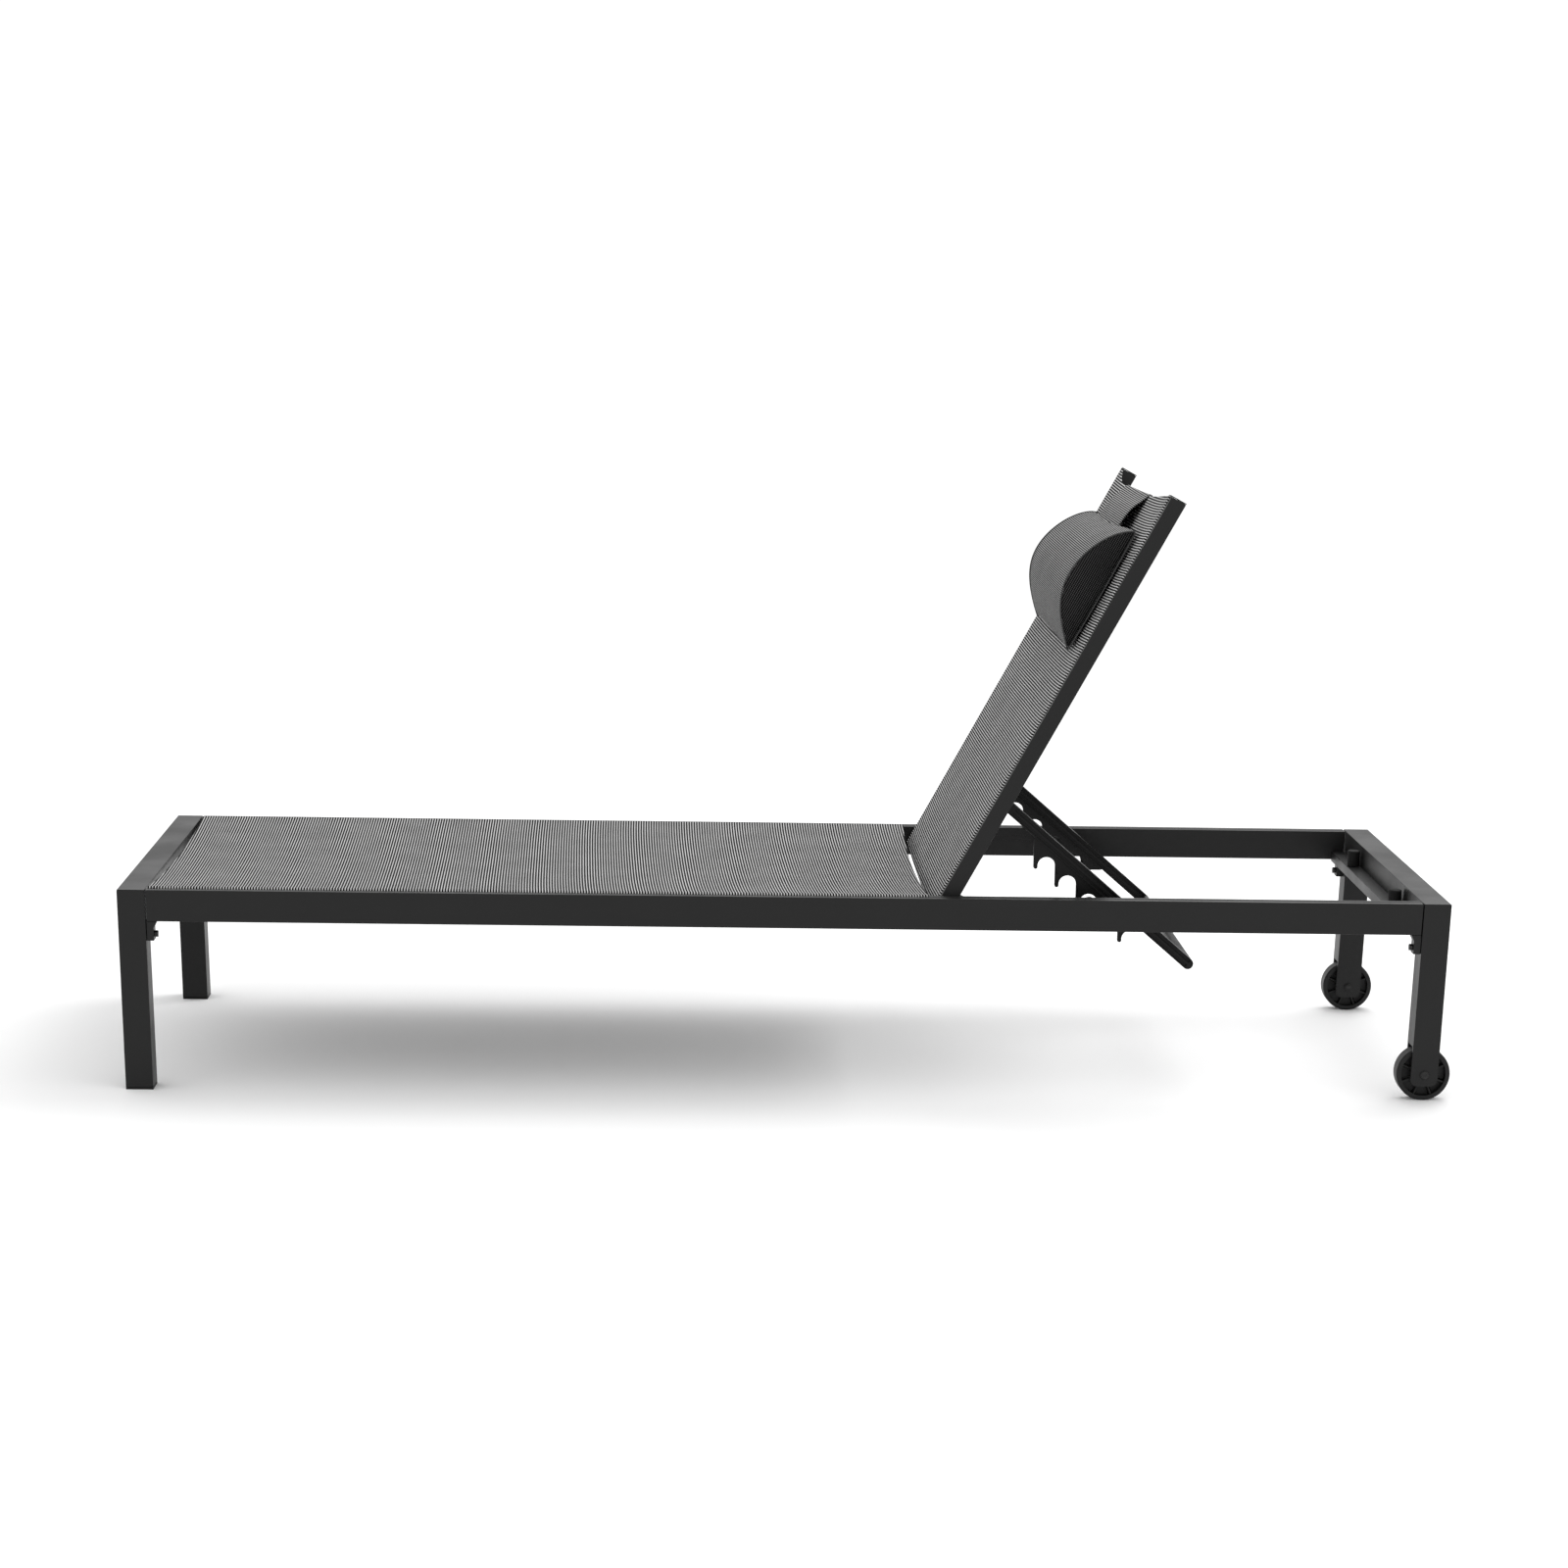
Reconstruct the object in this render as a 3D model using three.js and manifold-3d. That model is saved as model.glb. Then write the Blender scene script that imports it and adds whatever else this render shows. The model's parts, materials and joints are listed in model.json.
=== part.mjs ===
// Reclining sun lounger: aluminium frame on four legs, two of them on wheels, with a textile seat,
// a hinged textile backrest held by a notched prop, and a bolster headrest on a strap.
// Units are millimetres, +Z is up, X runs from the foot end to the head end, and the origin is on
// the floor at the middle of the footprint. "Left" is the left hand of a person lying on it (-Y).

import * as THREE from 'three';
import { mergeVertices } from 'three/addons/utils/BufferGeometryUtils.js';
import Module from 'manifold-3d';

const wasm = await Module();
wasm.setup();

// ---------------------------------------------------------------- driving dimensions

// Overall frame
const LENGTH = 1954;
const WIDTH = 640;
const HEIGHT = 298;
const GAP = 0.3;

// End frames: square tube legs and cross rails, raked inwards towards the floor
const TUBE = 40;
const TUBE_WALL = 2.5;
const LEG_RAKE = THREE.MathUtils.degToRad(2);
const GLIDE_THICKNESS = 3;
const GLIDE_PLUG_DEPTH = 18;

// Side rails with a spline channel in the top face
const RAIL_WIDTH = 25;
const RAIL_HEIGHT = 46.5;
const RAIL_WALL = 2.2;
const RAIL_SLOT_FROM_OUTSIDE = 15;
const SLOT_WIDTH = 3;
const RAIL_END_GAP = 2;
const CHANNEL_RADIUS = 3.8;
const CHANNEL_DEPTH = 6.5;
const SPLINE_RADIUS = 3;

// Corner brackets and their bolts
const BRACKET_THICKNESS = 10.5;
const BRACKET_DROP = 29;
const BRACKET_WIDTH = 20;
const BRACKET_GUSSET = 5;
const BRACKET_BOLT_RADIUS = 3;
const BRACKET_BOLT_HEAD_RADIUS = 5;
const BRACKET_BOLT_HEAD = 5;
const BRACKET_BOLT_DROP = 20;

// Shelf bar and rubber buffers inside the head cross rail
const SHELF_DEPTH = 22;
const SHELF_HEIGHT = 16;
const SHELF_DROP = 33;
const BUFFER_RADIUS = 10;
const BUFFER_HEIGHT = 25;
const BUFFER_SPREAD = 330;

// Stretcher under the seat
const STRETCHER_X = 1120;
const STRETCHER_WIDTH = 30;
const STRETCHER_HEIGHT = 20;
const STRETCHER_DROP = 20;

// Seat and backrest textile
const FABRIC = 1.2;
const SLING_SAG = 8;
const SEAT_START_GAP = 4.3;
const SEAT_END_X = 1180;

// Wheels in the head legs
const WHEEL_RADIUS = 40;
const WHEEL_WIDTH = 26;
const WHEEL_SIDES = 72;
const WHEEL_RIM = 7;
const WHEEL_HUB_RADIUS = 11;
const WHEEL_WEB = 5;
const WHEEL_RIBS = 8;
const WHEEL_RIB_WIDTH = 2.4;
const WHEEL_RIB_RECESS = 3;
const WHEEL_SLOT_CLEARANCE = 2;
const WHEEL_LEG_END = 17;
const WHEEL_LEG_CORNER = 10;
const AXLE_RADIUS = 4;
const AXLE_HEAD_RADIUS = 6.5;
const AXLE_HEAD = 3;
const BUSH_WALL = 1.8;
const HEX = 6;
const FIT = 0.3;

// Backrest: tilt at rest, pivot place and the two rails
const RECLINE = THREE.MathUtils.degToRad(61.6);
const PIVOT_X = 1236.5;
const PIVOT_DROP = 15.5;
const PIVOT_RADIUS = 4;
const PIVOT_HEAD_RADIUS = 6.8;
const PIVOT_HEAD = 3;
const PIVOT_OFFSET = 24;
const BACK_RAIL_WIDTH = 22;
const BACK_RAIL_DEPTH = 24;
const BACK_RAIL_WALL = 2;
const BACK_RAIL_SLOT_FROM_OUTSIDE = 10;
const BACK_SIDE_GAP = 2.5;
const BACK_START = -34;
const BACK_END = 670;
const BACK_SLING_START = -28;
const BACK_SLING_END = 655;
const PLUG_FLANGE = 1.5;
const PLUG_DEPTH = 16;
const UPPER_BAR_FROM_END = 27;
const UPPER_BAR_WIDTH = 22;
const UPPER_BAR_DEPTH = 12;
const PIVOT_BOSS_RADIUS = 10;
const PIVOT_BRACKET_REACH = 8;

// Prop: hinge place on the backrest, arm section, hooks and end bar
const PROP_HINGE_ALONG = 158.5;
const PROP_HINGE_OFFSET = 18;
const PROP_BAR_RADIUS = 8;
const PROP_TILT = THREE.MathUtils.degToRad(40.5);
const PROP_ARM_FROM_OUTSIDE = 68;
const PROP_ARM_WIDTH = 14;
const PROP_ARM_DEPTH = 16.5;
const PROP_ARM_LENGTH = 378;
const PROP_GROOVE_DEPTH = 3;
const PROP_GROOVE_WIDTH = 4;
const PROP_KNUCKLE_RADIUS = 12;
const HOOK_COUNT = 5;
const HOOK_PITCH = 42.2;
const HOOK_FIRST = 111.5;
const HOOK_AXIS_DROP = 29.3;
const HOOK_ARCH_RADIUS = 13;
const HOOK_TIP_DROP = 4.9;
const HOOK_PLATE = 6;

// Hook pegs standing inwards from the side rails
const PEG_RADIUS = 11.3;
const PEG_PIN_RADIUS = 5;
const PEG_HEAD_RADIUS = 9;
const PEG_HEAD = 3;
const PEG_ARM_CLEARANCE = 1.2;
const PEG_NOTCH = 2;
const PEG_SEAT = 2.3;

// Headrest: bolster, and the strap that runs over the backrest's top and loops round its upper bar
const PILLOW_LENGTH = 455;
const PILLOW_CENTRE_Y = 32;
const PILLOW_START = 395;
const PILLOW_HEIGHT = 206;
const PILLOW_DEPTH = 62;
const STRAP_WIDTH = 231;
const STRAP_CENTRE_Y = 50;
const STRAP_THICKNESS = 1.6;
const STRAP_START = 445;
const STRAP_OVER = 10;
const STRAP_CLEARANCE = 1.2;
const STRAP_RETURN = 21;

// ---------------------------------------------------------------- sizes that follow from them

const HALF_WIDTH = WIDTH / 2;
const rakeSlope = Math.tan(LEG_RAKE);
const railBottom = HEIGHT - RAIL_HEIGHT;
const railInside = HALF_WIDTH - RAIL_WIDTH;
const wheelX = LENGTH - TUBE / 2 - rakeSlope * (HEIGHT - WHEEL_RADIUS);
const backRailOutside = railInside - BACK_SIDE_GAP;
const backRailInside = backRailOutside - BACK_RAIL_WIDTH;
const backRear = PIVOT_OFFSET - BACK_RAIL_DEPTH / 2;
const backFront = PIVOT_OFFSET + BACK_RAIL_DEPTH / 2;
const pivotZ = HEIGHT - PIVOT_DROP;
const armOutside = HALF_WIDTH - PROP_ARM_FROM_OUTSIDE;
const armInside = armOutside - PROP_ARM_WIDTH;
const propHingeX = PIVOT_X + PROP_HINGE_ALONG * Math.cos(RECLINE) - PROP_HINGE_OFFSET * Math.sin(RECLINE);
const propHingeZ = pivotZ + PROP_HINGE_ALONG * Math.sin(RECLINE) + PROP_HINGE_OFFSET * Math.cos(RECLINE);
const originX = (wheelX + WHEEL_RADIUS) / 2;

// ---------------------------------------------------------------- shape helpers

// A closed geometry as a solid that can be joined and cut.
function solid(geometry) {
  geometry.deleteAttribute('normal');
  geometry.deleteAttribute('uv');
  const merged = mergeVertices(geometry, 1e-4);
  const mesh = new wasm.Mesh({
    numProp: 3,
    vertProperties: new Float32Array(merged.attributes.position.array),
    triVerts: new Uint32Array(merged.index.array),
  });
  return new wasm.Manifold(mesh);
}

// A solid back as a three.js geometry.
function geometryOf(body) {
  const mesh = body.getMesh();
  const geometry = new THREE.BufferGeometry();
  geometry.setAttribute('position', new THREE.BufferAttribute(new Float32Array(mesh.vertProperties), 3));
  geometry.setIndex(new THREE.BufferAttribute(new Uint32Array(mesh.triVerts), 1));
  geometry.computeVertexNormals();
  return geometry;
}

// A box between two corners.
function block([x0, x1], [y0, y1], [z0, z1]) {
  const geometry = new THREE.BoxGeometry(x1 - x0, y1 - y0, z1 - z0);
  geometry.translate((x0 + x1) / 2, (y0 + y1) / 2, (z0 + z1) / 2);
  return solid(geometry);
}

// An outline of straight edges.
function polygon(points) {
  return new THREE.Shape(points.map(([a, b]) => new THREE.Vector2(a, b)));
}

// An (x, z) outline carried along Y.
function prismY(shape, [y0, y1], curveSegments = 12) {
  const geometry = new THREE.ExtrudeGeometry(shape, { depth: y1 - y0, bevelEnabled: false, curveSegments });
  geometry.rotateX(Math.PI / 2);
  geometry.translate(0, y1, 0);
  return solid(geometry);
}

// A (y, z) outline carried along X.
function prismX(shape, [x0, x1], curveSegments = 12) {
  const geometry = new THREE.ExtrudeGeometry(shape, { depth: x1 - x0, bevelEnabled: false, curveSegments });
  const toX = new THREE.Matrix4().makeBasis(
    new THREE.Vector3(0, 1, 0),
    new THREE.Vector3(0, 0, 1),
    new THREE.Vector3(1, 0, 0),
  );
  geometry.applyMatrix4(toX);
  geometry.translate(x0, 0, 0);
  return solid(geometry);
}

// A turned piece: (radius, height) profile about an axis through a point.
function turned(profile, axis, [x, y, z], segments = 32) {
  const points = profile.map(([r, h]) => new THREE.Vector2(r, h));
  const geometry = new THREE.LatheGeometry(points, segments);
  if (axis === 'x') geometry.rotateZ(-Math.PI / 2);
  if (axis === 'z') geometry.rotateX(Math.PI / 2);
  geometry.translate(x, y, z);
  return solid(geometry);
}

// A full cylinder about an axis, between two heights along it.
function rod(radius, axis, centre, [h0, h1], segments = 32) {
  return turned([[0, h0], [radius, h0], [radius, h1], [0, h1]], axis, centre, segments);
}

// A strip of even thickness along a path in a plane, as an outline with mitred corners.
function ribbon(path, thickness) {
  const points = path.map(([a, b]) => new THREE.Vector2(a, b));
  const side = (sign) => points.map((point, i) => {
    const before = points[Math.max(i - 1, 0)];
    const after = points[Math.min(i + 1, points.length - 1)];
    const inward = point.clone().sub(before).normalize();
    const outward = after.clone().sub(point).normalize();
    const first = i === 0 ? outward : inward;
    const second = i === points.length - 1 ? inward : outward;
    const tangent = first.clone().add(second).normalize();
    const stretch = 1 / Math.max(tangent.dot(second), 0.5);
    const normal = new THREE.Vector2(-tangent.y, tangent.x);
    return point.clone().addScaledVector(normal, (sign * thickness * stretch) / 2);
  });
  return new THREE.Shape([...side(-1), ...side(1).reverse()]);
}

// Leans a piece of an end frame inwards: what is lower stands nearer the middle of the lounger.
function rake(body, end) {
  const sign = end === 'foot' ? 1 : -1;
  return body.warp((v) => {
    v[0] += sign * rakeSlope * (HEIGHT - v[2]);
  });
}

// ---------------------------------------------------------------- finishes

const finishes = {
  powderCoat: { color: 0x2b2b2c, roughness: 0.5, metalness: 0.2 },
  blackPlastic: { color: 0x121213, roughness: 0.42, metalness: 0 },
  rubber: { color: 0x0d0d0d, roughness: 0.85, metalness: 0 },
  steel: { color: 0x55565a, roughness: 0.35, metalness: 0.9 },
  textile: { color: 0x777779, roughness: 0.8, metalness: 0 },
  cushion: { color: 0x6c6c6e, roughness: 0.9, metalness: 0 },
};

const lounger = new THREE.Group();
lounger.position.x = -originX;

const backrest = new THREE.Group();
backrest.position.set(PIVOT_X, 0, pivotZ);
backrest.rotation.y = -RECLINE;
lounger.add(backrest);

const prop = new THREE.Group();
prop.position.set(propHingeX, 0, propHingeZ);
lounger.add(prop);

// Adds one named piece to a group.
function piece(name, body, finish, group = lounger) {
  const mesh = new THREE.Mesh(geometryOf(body), new THREE.MeshStandardMaterial(finishes[finish]));
  mesh.name = name;
  group.add(mesh);
}

// Left is -Y, so a length measured outwards is mirrored by the sign.
const sides = [['left', -1], ['right', 1]];

// ---------------------------------------------------------------- end frames

const headX0 = LENGTH - TUBE;
const innerTube = [-HALF_WIDTH + TUBE_WALL, -HALF_WIDTH + TUBE - TUBE_WALL];
const bracketBoltZ = railBottom - GAP - BRACKET_BOLT_DROP;
const railCentreY = HALF_WIDTH - RAIL_WIDTH / 2;

// The square tube across the top of an end frame, mitred at both ends.
function crossRail(x0) {
  const outline = polygon([
    [-HALF_WIDTH, HEIGHT],
    [-HALF_WIDTH + TUBE, HEIGHT - TUBE],
    [HALF_WIDTH - TUBE, HEIGHT - TUBE],
    [HALF_WIDTH, HEIGHT],
  ]);
  const bore = block(
    [x0 + TUBE_WALL, x0 + TUBE - TUBE_WALL],
    [-HALF_WIDTH - 1, HALF_WIDTH + 1],
    [HEIGHT - TUBE + TUBE_WALL, HEIGHT - TUBE_WALL],
  );
  return prismX(outline, [x0, x0 + TUBE]).subtract(bore);
}

// A hollow leg with a mitred top, standing on the -Y side.
function legTube(x0, bottom) {
  const shoulder = HEIGHT - GAP * Math.SQRT2;
  const outline = polygon([
    [-HALF_WIDTH, bottom],
    [-HALF_WIDTH + TUBE, bottom],
    [-HALF_WIDTH + TUBE, shoulder - TUBE],
    [-HALF_WIDTH, shoulder],
  ]);
  const bore = block(
    [x0 + TUBE_WALL, x0 + TUBE - TUBE_WALL],
    innerTube,
    [bottom - 1, HEIGHT - TUBE - TUBE_WALL],
  );
  return prismX(outline, [x0, x0 + TUBE]).subtract(bore);
}

// The bolt hole in the leg's inner face, for the corner bracket.
function bracketHole(end) {
  const x = end === 'foot' ? TUBE : headX0;
  const hole = BRACKET_BOLT_RADIUS + FIT;
  return rod(hole, 'x', [x, -railCentreY, bracketBoltZ], [-TUBE_WALL - 1, TUBE_WALL + 1]);
}

piece('foot_cross_rail', rake(crossRail(0), 'foot'), 'powderCoat');
piece('head_cross_rail', rake(crossRail(headX0), 'head'), 'powderCoat');

const mirrorY = (body, sign) => (sign > 0 ? body.mirror([0, 1, 0]) : body);

for (const [side, sign] of sides) {
  const footLeg = legTube(0, GLIDE_THICKNESS).subtract(bracketHole('foot'));
  piece(`foot_leg_${side}`, mirrorY(rake(footLeg, 'foot'), sign), 'powderCoat');

  const pad = block([0, TUBE], [-HALF_WIDTH, -HALF_WIDTH + TUBE], [0, GLIDE_THICKNESS - GAP]);
  const plugInset = TUBE_WALL + GAP;
  const plug = block(
    [plugInset, TUBE - plugInset],
    [-HALF_WIDTH + plugInset, -HALF_WIDTH + TUBE - plugInset],
    [0, GLIDE_THICKNESS + GLIDE_PLUG_DEPTH],
  );
  piece(`foot_glide_${side}`, mirrorY(rake(pad.add(plug), 'foot'), sign), 'blackPlastic');
}

// Head legs: the tube end is rounded and slotted, so that the wheel turns between its two walls.
function headLeg() {
  const bottom = WHEEL_RADIUS - WHEEL_LEG_END;
  const outline = new THREE.Shape();
  outline.moveTo(headX0, HEIGHT);
  outline.lineTo(headX0, bottom + WHEEL_LEG_CORNER);
  outline.absarc(headX0 + WHEEL_LEG_CORNER, bottom + WHEEL_LEG_CORNER, WHEEL_LEG_CORNER, Math.PI, 1.5 * Math.PI);
  outline.absarc(LENGTH - WHEEL_LEG_CORNER, bottom + WHEEL_LEG_CORNER, WHEEL_LEG_CORNER, 1.5 * Math.PI, 2 * Math.PI);
  outline.lineTo(LENGTH, HEIGHT);
  const rounded = prismY(outline, [-HALF_WIDTH - 1, -HALF_WIDTH + TUBE + 1]);
  const halfSlot = WHEEL_WIDTH / 2 + WHEEL_SLOT_CLEARANCE;
  const centreY = -HALF_WIDTH + TUBE / 2;
  const slot = block(
    [headX0 - 1, LENGTH + 1],
    [centreY - halfSlot, centreY + halfSlot],
    [bottom - 1, 2 * WHEEL_RADIUS + WHEEL_SLOT_CLEARANCE],
  );
  const axleX = wheelX + rakeSlope * (HEIGHT - WHEEL_RADIUS);
  const axleHole = rod(AXLE_RADIUS + FIT, 'y', [axleX, centreY, WHEEL_RADIUS], [-TUBE, TUBE]);
  const body = legTube(headX0, bottom).intersect(rounded).subtract(slot).subtract(bracketHole('head'));
  return rake(body.subtract(axleHole), 'head');
}

for (const [side, sign] of sides) {
  piece(`head_leg_${side}`, mirrorY(headLeg(), sign), 'powderCoat');
}

// ---------------------------------------------------------------- wheels and axles

const wheelCentreY = HALF_WIDTH - TUBE / 2;
const bushOuter = AXLE_RADIUS + FIT + BUSH_WALL;

// One-piece wheel: rim, thin web and hub, with ribs on both faces.
function wheelBody(centre) {
  const half = WHEEL_WIDTH / 2;
  const rimInside = WHEEL_RADIUS - WHEEL_RIM;
  const bevel = 2;
  const body = turned([
    [bushOuter + FIT, -half],
    [WHEEL_HUB_RADIUS, -half],
    [WHEEL_HUB_RADIUS, -WHEEL_WEB / 2],
    [rimInside, -WHEEL_WEB / 2],
    [rimInside, -half],
    [WHEEL_RADIUS - bevel, -half],
    [WHEEL_RADIUS, -half + bevel],
    [WHEEL_RADIUS, half - bevel],
    [WHEEL_RADIUS - bevel, half],
    [rimInside, half],
    [rimInside, WHEEL_WEB / 2],
    [WHEEL_HUB_RADIUS, WHEEL_WEB / 2],
    [WHEEL_HUB_RADIUS, half],
    [bushOuter + FIT, half],
    [bushOuter + FIT, -half],
  ], 'y', centre, WHEEL_SIDES);
  const ribHalf = half - WHEEL_RIB_RECESS;
  let wheel = body;
  for (let i = 0; i < WHEEL_RIBS; i += 1) {
    const rib = new THREE.BoxGeometry(rimInside - WHEEL_HUB_RADIUS + 2, 2 * ribHalf, WHEEL_RIB_WIDTH);
    rib.translate((rimInside + WHEEL_HUB_RADIUS) / 2, 0, 0);
    rib.rotateY((i + 0.5) * (2 * Math.PI / WHEEL_RIBS));
    rib.translate(...centre);
    wheel = wheel.add(solid(rib));
  }
  return wheel;
}

for (const [side, sign] of sides) {
  const centre = [wheelX, sign * wheelCentreY, WHEEL_RADIUS];
  const halfTube = TUBE / 2;
  piece(`wheel_${side}`, wheelBody(centre), 'blackPlastic');

  const bushHalf = halfTube - TUBE_WALL - GAP;
  const bush = turned([
    [AXLE_RADIUS + FIT, -bushHalf],
    [bushOuter, -bushHalf],
    [bushOuter, bushHalf],
    [AXLE_RADIUS + FIT, bushHalf],
    [AXLE_RADIUS + FIT, -bushHalf],
  ], 'y', centre);
  piece(`wheel_bush_${side}`, bush, 'blackPlastic');

  const headFoot = halfTube + GAP;
  const shankEnd = halfTube + AXLE_HEAD;
  const profile = [
    [0, -shankEnd],
    [AXLE_RADIUS, -shankEnd],
    [AXLE_RADIUS, headFoot],
    [AXLE_HEAD_RADIUS, headFoot],
    [AXLE_HEAD_RADIUS, headFoot + AXLE_HEAD / 2],
    [AXLE_HEAD_RADIUS - AXLE_HEAD / 2, headFoot + AXLE_HEAD],
    [0, headFoot + AXLE_HEAD],
  ];
  const axle = turned(profile, 'y', [0, 0, 0]);
  piece(`wheel_axle_${side}`, mirrorY(axle, -sign).translate(centre), 'steel');

  const nutHole = rod(AXLE_RADIUS + FIT, 'y', [0, 0, 0], [-shankEnd - 1, 0]);
  const nut = rod(AXLE_HEAD_RADIUS, 'y', [0, 0, 0], [-shankEnd, -headFoot], HEX).subtract(nutHole);
  piece(`axle_nut_${side}`, mirrorY(nut, -sign).translate(centre), 'steel');
}

// ---------------------------------------------------------------- side rails

// Section of a rail with a spline channel open to its front face; "across" runs from the outside in.
function channelSection(width, depth, wall, slotAt) {
  const slotHalf = SLOT_WIDTH / 2;
  const channelZ = depth - CHANNEL_DEPTH;
  const mouth = Math.asin(slotHalf / CHANNEL_RADIUS);
  const outline = new THREE.Shape();
  outline.moveTo(0, 0);
  outline.lineTo(width, 0);
  outline.lineTo(width, depth);
  outline.lineTo(slotAt + slotHalf, depth);
  outline.absarc(slotAt, channelZ, CHANNEL_RADIUS, Math.PI / 2 - mouth, -1.5 * Math.PI + mouth, true);
  outline.lineTo(slotAt - slotHalf, depth);
  outline.lineTo(0, depth);
  outline.closePath();
  const hollowTop = channelZ - CHANNEL_RADIUS - wall;
  const hollow = polygon([[wall, wall], [width - wall, wall], [width - wall, hollowTop], [wall, hollowTop]]);
  outline.holes.push(hollow);
  return outline;
}

const pegX = propHingeX + HOOK_FIRST * Math.cos(PROP_TILT) - HOOK_AXIS_DROP * Math.sin(PROP_TILT)
  + PEG_NOTCH * HOOK_PITCH * Math.cos(PROP_TILT);
const pegArchZ = propHingeZ - (HOOK_FIRST + PEG_NOTCH * HOOK_PITCH) * Math.sin(PROP_TILT)
  - HOOK_AXIS_DROP * Math.cos(PROP_TILT);
const pegZ = pegArchZ + HOOK_ARCH_RADIUS - PEG_RADIUS - PEG_SEAT;

for (const [side, sign] of sides) {
  const section = channelSection(RAIL_WIDTH, RAIL_HEIGHT, RAIL_WALL, RAIL_SLOT_FROM_OUTSIDE);
  const straight = prismX(section, [TUBE + RAIL_END_GAP, headX0 - RAIL_END_GAP]).translate([0, -HALF_WIDTH, railBottom]);
  const ends = straight.warp((v) => {
    const lean = rakeSlope * (HEIGHT - v[2]);
    v[0] += v[0] < LENGTH / 2 ? lean : -lean;
  });
  const wallSpan = [-RAIL_WALL - 1, 1];
  const pivotHole = rod(PIVOT_RADIUS + FIT, 'y', [PIVOT_X, -railInside, pivotZ], wallSpan);
  const pegHole = rod(PEG_PIN_RADIUS + FIT, 'y', [pegX, -railInside, pegZ], wallSpan);
  const pocketSpan = [-RAIL_WALL - PIVOT_HEAD - 2 * GAP, -RAIL_WALL];
  const pocketRadius = PIVOT_HEAD_RADIUS + FIT;
  const headPocket = rod(pocketRadius, 'y', [PIVOT_X, -railInside, pivotZ], pocketSpan);
  const rail = ends.subtract(pivotHole).subtract(pegHole).subtract(headPocket);
  piece(`side_rail_${side}`, mirrorY(rail, sign), 'powderCoat');
}

// ---------------------------------------------------------------- corner brackets

// An ear under the rail's end, bolted to the leg's inner face.
function cornerBracket(end) {
  const faceX = TUBE + GAP;
  const top = railBottom - GAP;
  const outline = polygon([
    [faceX, top],
    [faceX, top - BRACKET_DROP],
    [faceX + BRACKET_THICKNESS, top - BRACKET_DROP],
    [faceX + BRACKET_THICKNESS, top - 2 * BRACKET_GUSSET],
    [faceX + BRACKET_THICKNESS + BRACKET_GUSSET, top],
  ]);
  const ySpan = [-railCentreY - BRACKET_WIDTH / 2, -railCentreY + BRACKET_WIDTH / 2];
  const holeSpan = [0, TUBE + BRACKET_THICKNESS];
  const hole = rod(BRACKET_BOLT_RADIUS + FIT, 'x', [faceX - 1, -railCentreY, bracketBoltZ], holeSpan);
  const ear = prismY(outline, ySpan).subtract(hole);
  return end === 'foot' ? ear : ear.mirror([1, 0, 0]).translate([LENGTH, 0, 0]);
}

// The bolt through the ear into the leg.
function bracketBolt(end) {
  const headX = TUBE + GAP + BRACKET_THICKNESS + GAP;
  const bolt = turned([
    [0, TUBE - TUBE_WALL],
    [BRACKET_BOLT_RADIUS, TUBE - TUBE_WALL],
    [BRACKET_BOLT_RADIUS, headX],
    [BRACKET_BOLT_HEAD_RADIUS, headX],
    [BRACKET_BOLT_HEAD_RADIUS, headX + BRACKET_BOLT_HEAD],
    [0, headX + BRACKET_BOLT_HEAD],
  ], 'x', [0, -railCentreY, bracketBoltZ], HEX);
  return end === 'foot' ? bolt : bolt.mirror([1, 0, 0]).translate([LENGTH, 0, 0]);
}

for (const end of ['foot', 'head']) {
  for (const [side, sign] of sides) {
    piece(`${end}_bracket_${side}`, mirrorY(rake(cornerBracket(end), end), sign), 'powderCoat');
    piece(`${end}_bracket_bolt_${side}`, mirrorY(rake(bracketBolt(end), end), sign), 'steel');
  }
}

// ---------------------------------------------------------------- cross members

// A square-cut hollow bar between the side rails.
function crossTube([x0, x1], [z0, z1], reach, wall) {
  const outer = block([x0, x1], [-reach, reach], [z0, z1]);
  const bore = block([x0 + wall, x1 - wall], [-reach - 1, reach + 1], [z0 + wall, z1 - wall]);
  return outer.subtract(bore);
}

const tubeWall = 1.8;
const shelfTop = HEIGHT - SHELF_DROP;
const shelf = crossTube(
  [headX0 - GAP - SHELF_DEPTH, headX0 - GAP],
  [shelfTop - SHELF_HEIGHT, shelfTop],
  railInside - GAP,
  tubeWall,
);
piece('head_shelf_bar', rake(shelf, 'head'), 'powderCoat');

for (const [side, sign] of sides) {
  const foot = shelfTop + GAP;
  const lip = 1.5;
  const buffer = turned([
    [0, 0],
    [BUFFER_RADIUS, 0],
    [BUFFER_RADIUS, BUFFER_HEIGHT - lip],
    [BUFFER_RADIUS - lip, BUFFER_HEIGHT],
    [0, BUFFER_HEIGHT],
  ], 'z', [0, 0, 0], 24);
  const x = headX0 - GAP - SHELF_DEPTH / 2 - rakeSlope * SHELF_DROP;
  piece(`backrest_buffer_${side}`, buffer.translate([x, sign * BUFFER_SPREAD / 2, foot]), 'rubber');
}

const stretcherTop = HEIGHT - STRETCHER_DROP;
const stretcher = crossTube(
  [STRETCHER_X - STRETCHER_WIDTH / 2, STRETCHER_X + STRETCHER_WIDTH / 2],
  [stretcherTop - STRETCHER_HEIGHT, stretcherTop],
  railInside - GAP,
  tubeWall,
);
piece('seat_stretcher', stretcher, 'powderCoat');

// ---------------------------------------------------------------- slings

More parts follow.
